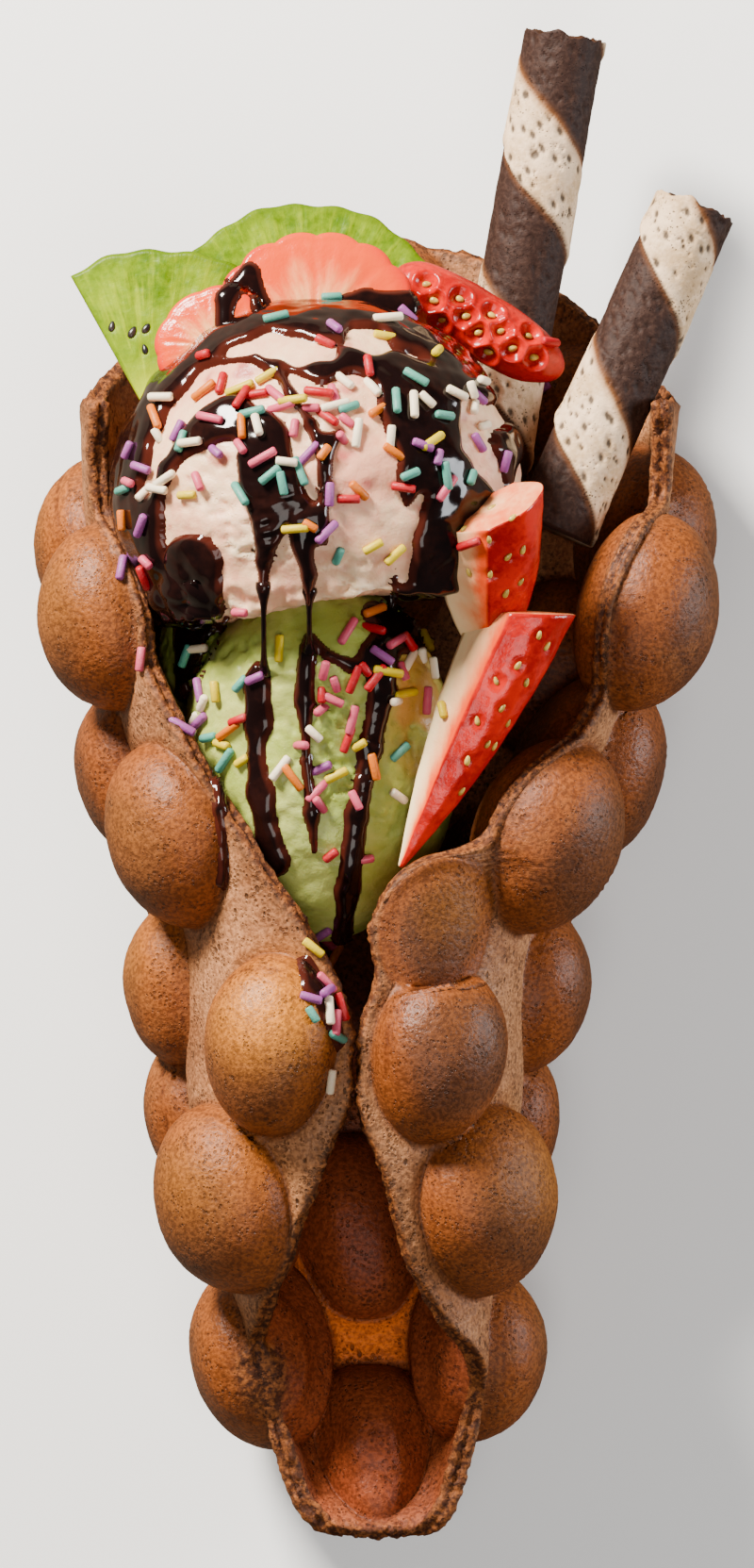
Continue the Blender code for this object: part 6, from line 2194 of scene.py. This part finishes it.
@dataclass
class Studio:
    """Pale floor, soft light from the upper left, and the camera at the photograph's angle.

    Attributes:
        lens, sensor: focal length and sensor height in millimetres.
        frame_height: height of the photographed frame at the object.
        middle: X and height, upright, of the frame's centre.
        floor_size, floor_drop: the floor's side, and how far it lies under the cone.
        floor_color, floor_shade: its colour and its fainter clouds.
        bounce_color: how much of the light the floor throws back at the cone.
        lights: name, place, side, power in watts and colour of each soft light.
        aim: what the lights face.
        surround: strength of the white surround.
    """

    lens: float = 400.0
    sensor: float = 36.0
    frame_height: float = 0.2578
    middle: tuple[float, float] = (0.0023, 0.1242)
    floor_size: float = 6.0
    floor_drop: float = 0.0002
    floor_color: Color = (0.96, 0.96, 0.96)
    floor_shade: float = 0.985
    bounce_color: Color = (0.17, 0.14, 0.11)
    lights: tuple[tuple[str, Triple, float, float, Color], ...] = (
        ("key_light", (-0.55, 0.70, 0.62), 0.26, 50.0, (1.0, 0.94, 0.85)),
        ("fill_light", (0.10, -0.45, 1.15), 0.60, 6.5, (1.0, 0.95, 0.89)),
        ("rim_light", (0.80, 0.10, 0.18), 0.30, 7.0, (0.92, 0.96, 1.0)),
    )
    aim: Triple = (0.0, 0.02, 0.03)
    surround: float = 0.12

    def place_floor(self) -> None:
        """The floor under the cone."""
        deselect_all()
        bpy.ops.mesh.primitive_plane_add(size=self.floor_size, location=(0.0, 0.0, -self.floor_drop))
        floor = bpy.context.object
        floor.name = "studio_floor"
        material, sketch, shader = new_finish("studio_floor", 0.9, Specular_IOR_Level=0.1)
        tone = sketch.noise(sketch.place(), 3.0, 2.0)
        shade = tuple(self.floor_shade * part for part in self.floor_color)
        seen = sketch.mix(sketch.step(tone, 0.3, 0.7), self.floor_color, shade)
        direct = sketch.node("ShaderNodeLightPath").outputs["Is Camera Ray"]
        sketch.feed(shader, {"Base Color": sketch.mix(direct, self.bounce_color, seen)})
        floor.data.materials.append(material)

    def place_lights(self) -> None:
        """Key light, fill and rim light, which face the cone, and a pale surround."""
        for name, place, size, power, color in self.lights:
            data = bpy.data.lights.new(name, "AREA")
            data.shape, data.size, data.energy, data.color = "SQUARE", size, power, color
            lamp = bpy.data.objects.new(name, data)
            bpy.context.scene.collection.objects.link(lamp)
            lamp.location = place
            lamp.rotation_euler = (Vector(self.aim) - Vector(place)).to_track_quat("-Z", "Y").to_euler()
        world = bpy.data.worlds.new("studio_surround")
        bpy.context.scene.world = world
        world.use_nodes = True
        world.node_tree.nodes["Background"].inputs["Color"].default_value = (1.0, 1.0, 1.0, 1.0)
        world.node_tree.nodes["Background"].inputs["Strength"].default_value = self.surround

    def place_camera(self) -> None:
        """The camera that looks at the upright cone from its front, now laid down with it."""
        matrix = POSE.matrix()
        aim = matrix @ Vector((self.middle[0], 0.0, self.middle[1]))
        ahead = (matrix.to_3x3() @ AHEAD).normalized()
        up = (matrix.to_3x3() @ UP).normalized()
        data = bpy.data.cameras.new("front_camera")
        data.lens, data.sensor_fit, data.sensor_height = self.lens, "VERTICAL", self.sensor
        data.clip_start, data.clip_end = 0.05, 20.0
        camera = bpy.data.objects.new("front_camera", data)
        bpy.context.scene.collection.objects.link(camera)
        away = self.lens * self.frame_height / self.sensor
        turn = Matrix((ahead.cross(up).normalized(), up, -ahead)).transposed()
        camera.matrix_world = Matrix.Translation(aim - ahead * away) @ turn.to_4x4()
        bpy.context.scene.camera = camera


def dress(piece: Piece, material: bpy.types.Material, slot: str, *nodes: str) -> None:
    """Give a piece its finish and its body, and hide the nodes that it stands for.

    Args:
        piece: the piece.
        material: its material.
        slot: not used.
        nodes: the nodes that it replaces.
    """
    piece.data.materials.clear()
    piece.data.materials.append(material)
    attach(piece, BODY)
    if nodes:
        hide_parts(*nodes)
    LOG.info("%s: %d faces", piece.name, len(piece.data.polygons))


def lay_down(pieces: Sequence[Piece]) -> None:
    """Lay upright pieces down with the cone."""
    for piece in pieces:
        set_points(piece, POSE.lay(points_of(piece)))
        piece.data.shade_smooth()


def stand_up(piece: Piece) -> Piece:
    """An upright copy of a piece that was laid down."""
    copy = piece.copy()
    copy.data = piece.data.copy()
    back = np.array(POSE.matrix().inverted())
    set_points(copy, points_of(piece) @ back[:3, :3].T + back[:3, 3])
    return copy


def main() -> None:
    """Build and dress every piece, then the studio."""
    logging.basicConfig(level=logging.INFO, format="%(message)s")
    effects = SharedEffects()
    scoops, rolls, cone, fruit = IceCream(), WaferRolls(), WaffleCone(), CutFruit()
    wafer = WaferFinish().material(effects)
    for piece, node in zip(rolls.build(), ("wafer_roll_back", "wafer_roll_front")):
        dress(piece, wafer, "wafer", node)
    waffle = cone.build(scoops, rolls)
    dress(waffle, WaffleCrust().material(effects), "waffle", "waffle")
    creams = scoops.build()
    kiwis, berries, berry_seeds, kiwi_seeds = fruit.build()
    sauce = ChocolateSauce()
    top_sauce = sauce.coat("sauce_top", scoops.top_centre, tree_of([creams[0]]))
    slice_sauce = sauce.pour("sauce_slice", sauce.slice_runs, tree_of(berries[:2]), 0.0010, 0.0020)
    low_sauce = sauce.pour("sauce_low", sauce.low_runs, tree_of(creams), 0.0013, 0.0020)
    strings = sauce.hang_strings(tree_of(creams))
    upright_waffle = stand_up(waffle)
    edge_sauce = sauce.pour("sauce_edge", sauce.edge_runs, tree_of([upright_waffle]), 0.0011, 0.0020)
    sauces = [top_sauce, slice_sauce, low_sauce, strings, edge_sauce]
    landing = tree_of([*creams, *sauces, upright_waffle, *kiwis, *berries])
    sprinkles = SugarSprinkles().build(landing)
    bpy.data.objects.remove(upright_waffle, do_unlink=True)
    lay_down([*creams, *kiwis, *berries, *sauces])
    pink = CreamFinish("strawberry_ice_cream", (0.900, 0.570, 0.340), (0.820, 0.380, 0.240), (0.380, 0.028, 0.038),
                       (0.880, 0.640, 0.400), (0.860, 0.600, 0.420)).material(effects)
    green = CreamFinish("pistachio_ice_cream", (0.460, 0.500, 0.130), (0.320, 0.390, 0.060), (0.120, 0.180, 0.008),
                        (0.300, 0.390, 0.050), (0.560, 0.260, 0.050)).material(effects)
    gloss, sugar, kiwi = (finish().material(effects) for finish in (SauceGloss, SugarShell, KiwiFinish))
    rayed, skinned = (BerryFinish().material(effects, way) for way in (True, False))
    berry_seed = SeedFinish("strawberry_seed", (0.620, 0.420, 0.070), (0.360, 0.230, 0.040)).material()
    kiwi_seed = SeedFinish("kiwi_seed", (0.010, 0.009, 0.010), (0.030, 0.020, 0.016)).material()
    top_node, low_node = "scoop_strawberry", "scoop_pistachio"
    pink_slot, green_slot = "ice_cream_pink", "ice_cream_green"
    berry_nodes = ("strawberry_slice", "strawberry_left", "strawberry_wedge_upper", "strawberry_wedge_lower",
                   "strawberry_right")
    dressing = [
        (creams[0], pink, pink_slot, top_node),
        (creams[1], green, green_slot, low_node),
        (creams[2], green, green_slot, low_node),
        (top_sauce, gloss, pink_slot, top_node),
        (slice_sauce, gloss, "strawberry", berry_nodes[0]),
        (strings, gloss, green_slot, low_node),
        (low_sauce, gloss, green_slot, low_node),
        (edge_sauce, gloss, "waffle", "waffle"),
        (sprinkles, sugar, pink_slot, top_node, low_node),
        (kiwis[0], kiwi, "kiwi", "kiwi_left"),
        (kiwis[1], kiwi, "kiwi", "kiwi_back"),
        *((piece, finish, "strawberry", node)
          for piece, finish, node in zip(berries, (rayed, rayed, skinned, skinned, skinned), berry_nodes)),
        *((piece, berry_seed, "strawberry", node) for piece, node in zip(berry_seeds, berry_nodes[2:])),
        (kiwi_seeds, kiwi_seed, "kiwi", "kiwi_left"),
    ]
    for piece, finish, slot, *nodes in dressing:
        dress(piece, finish, slot, *nodes)
    studio = Studio()
    studio.place_floor()
    studio.place_lights()
    studio.place_camera()


if __name__ == "__main__":
    main()
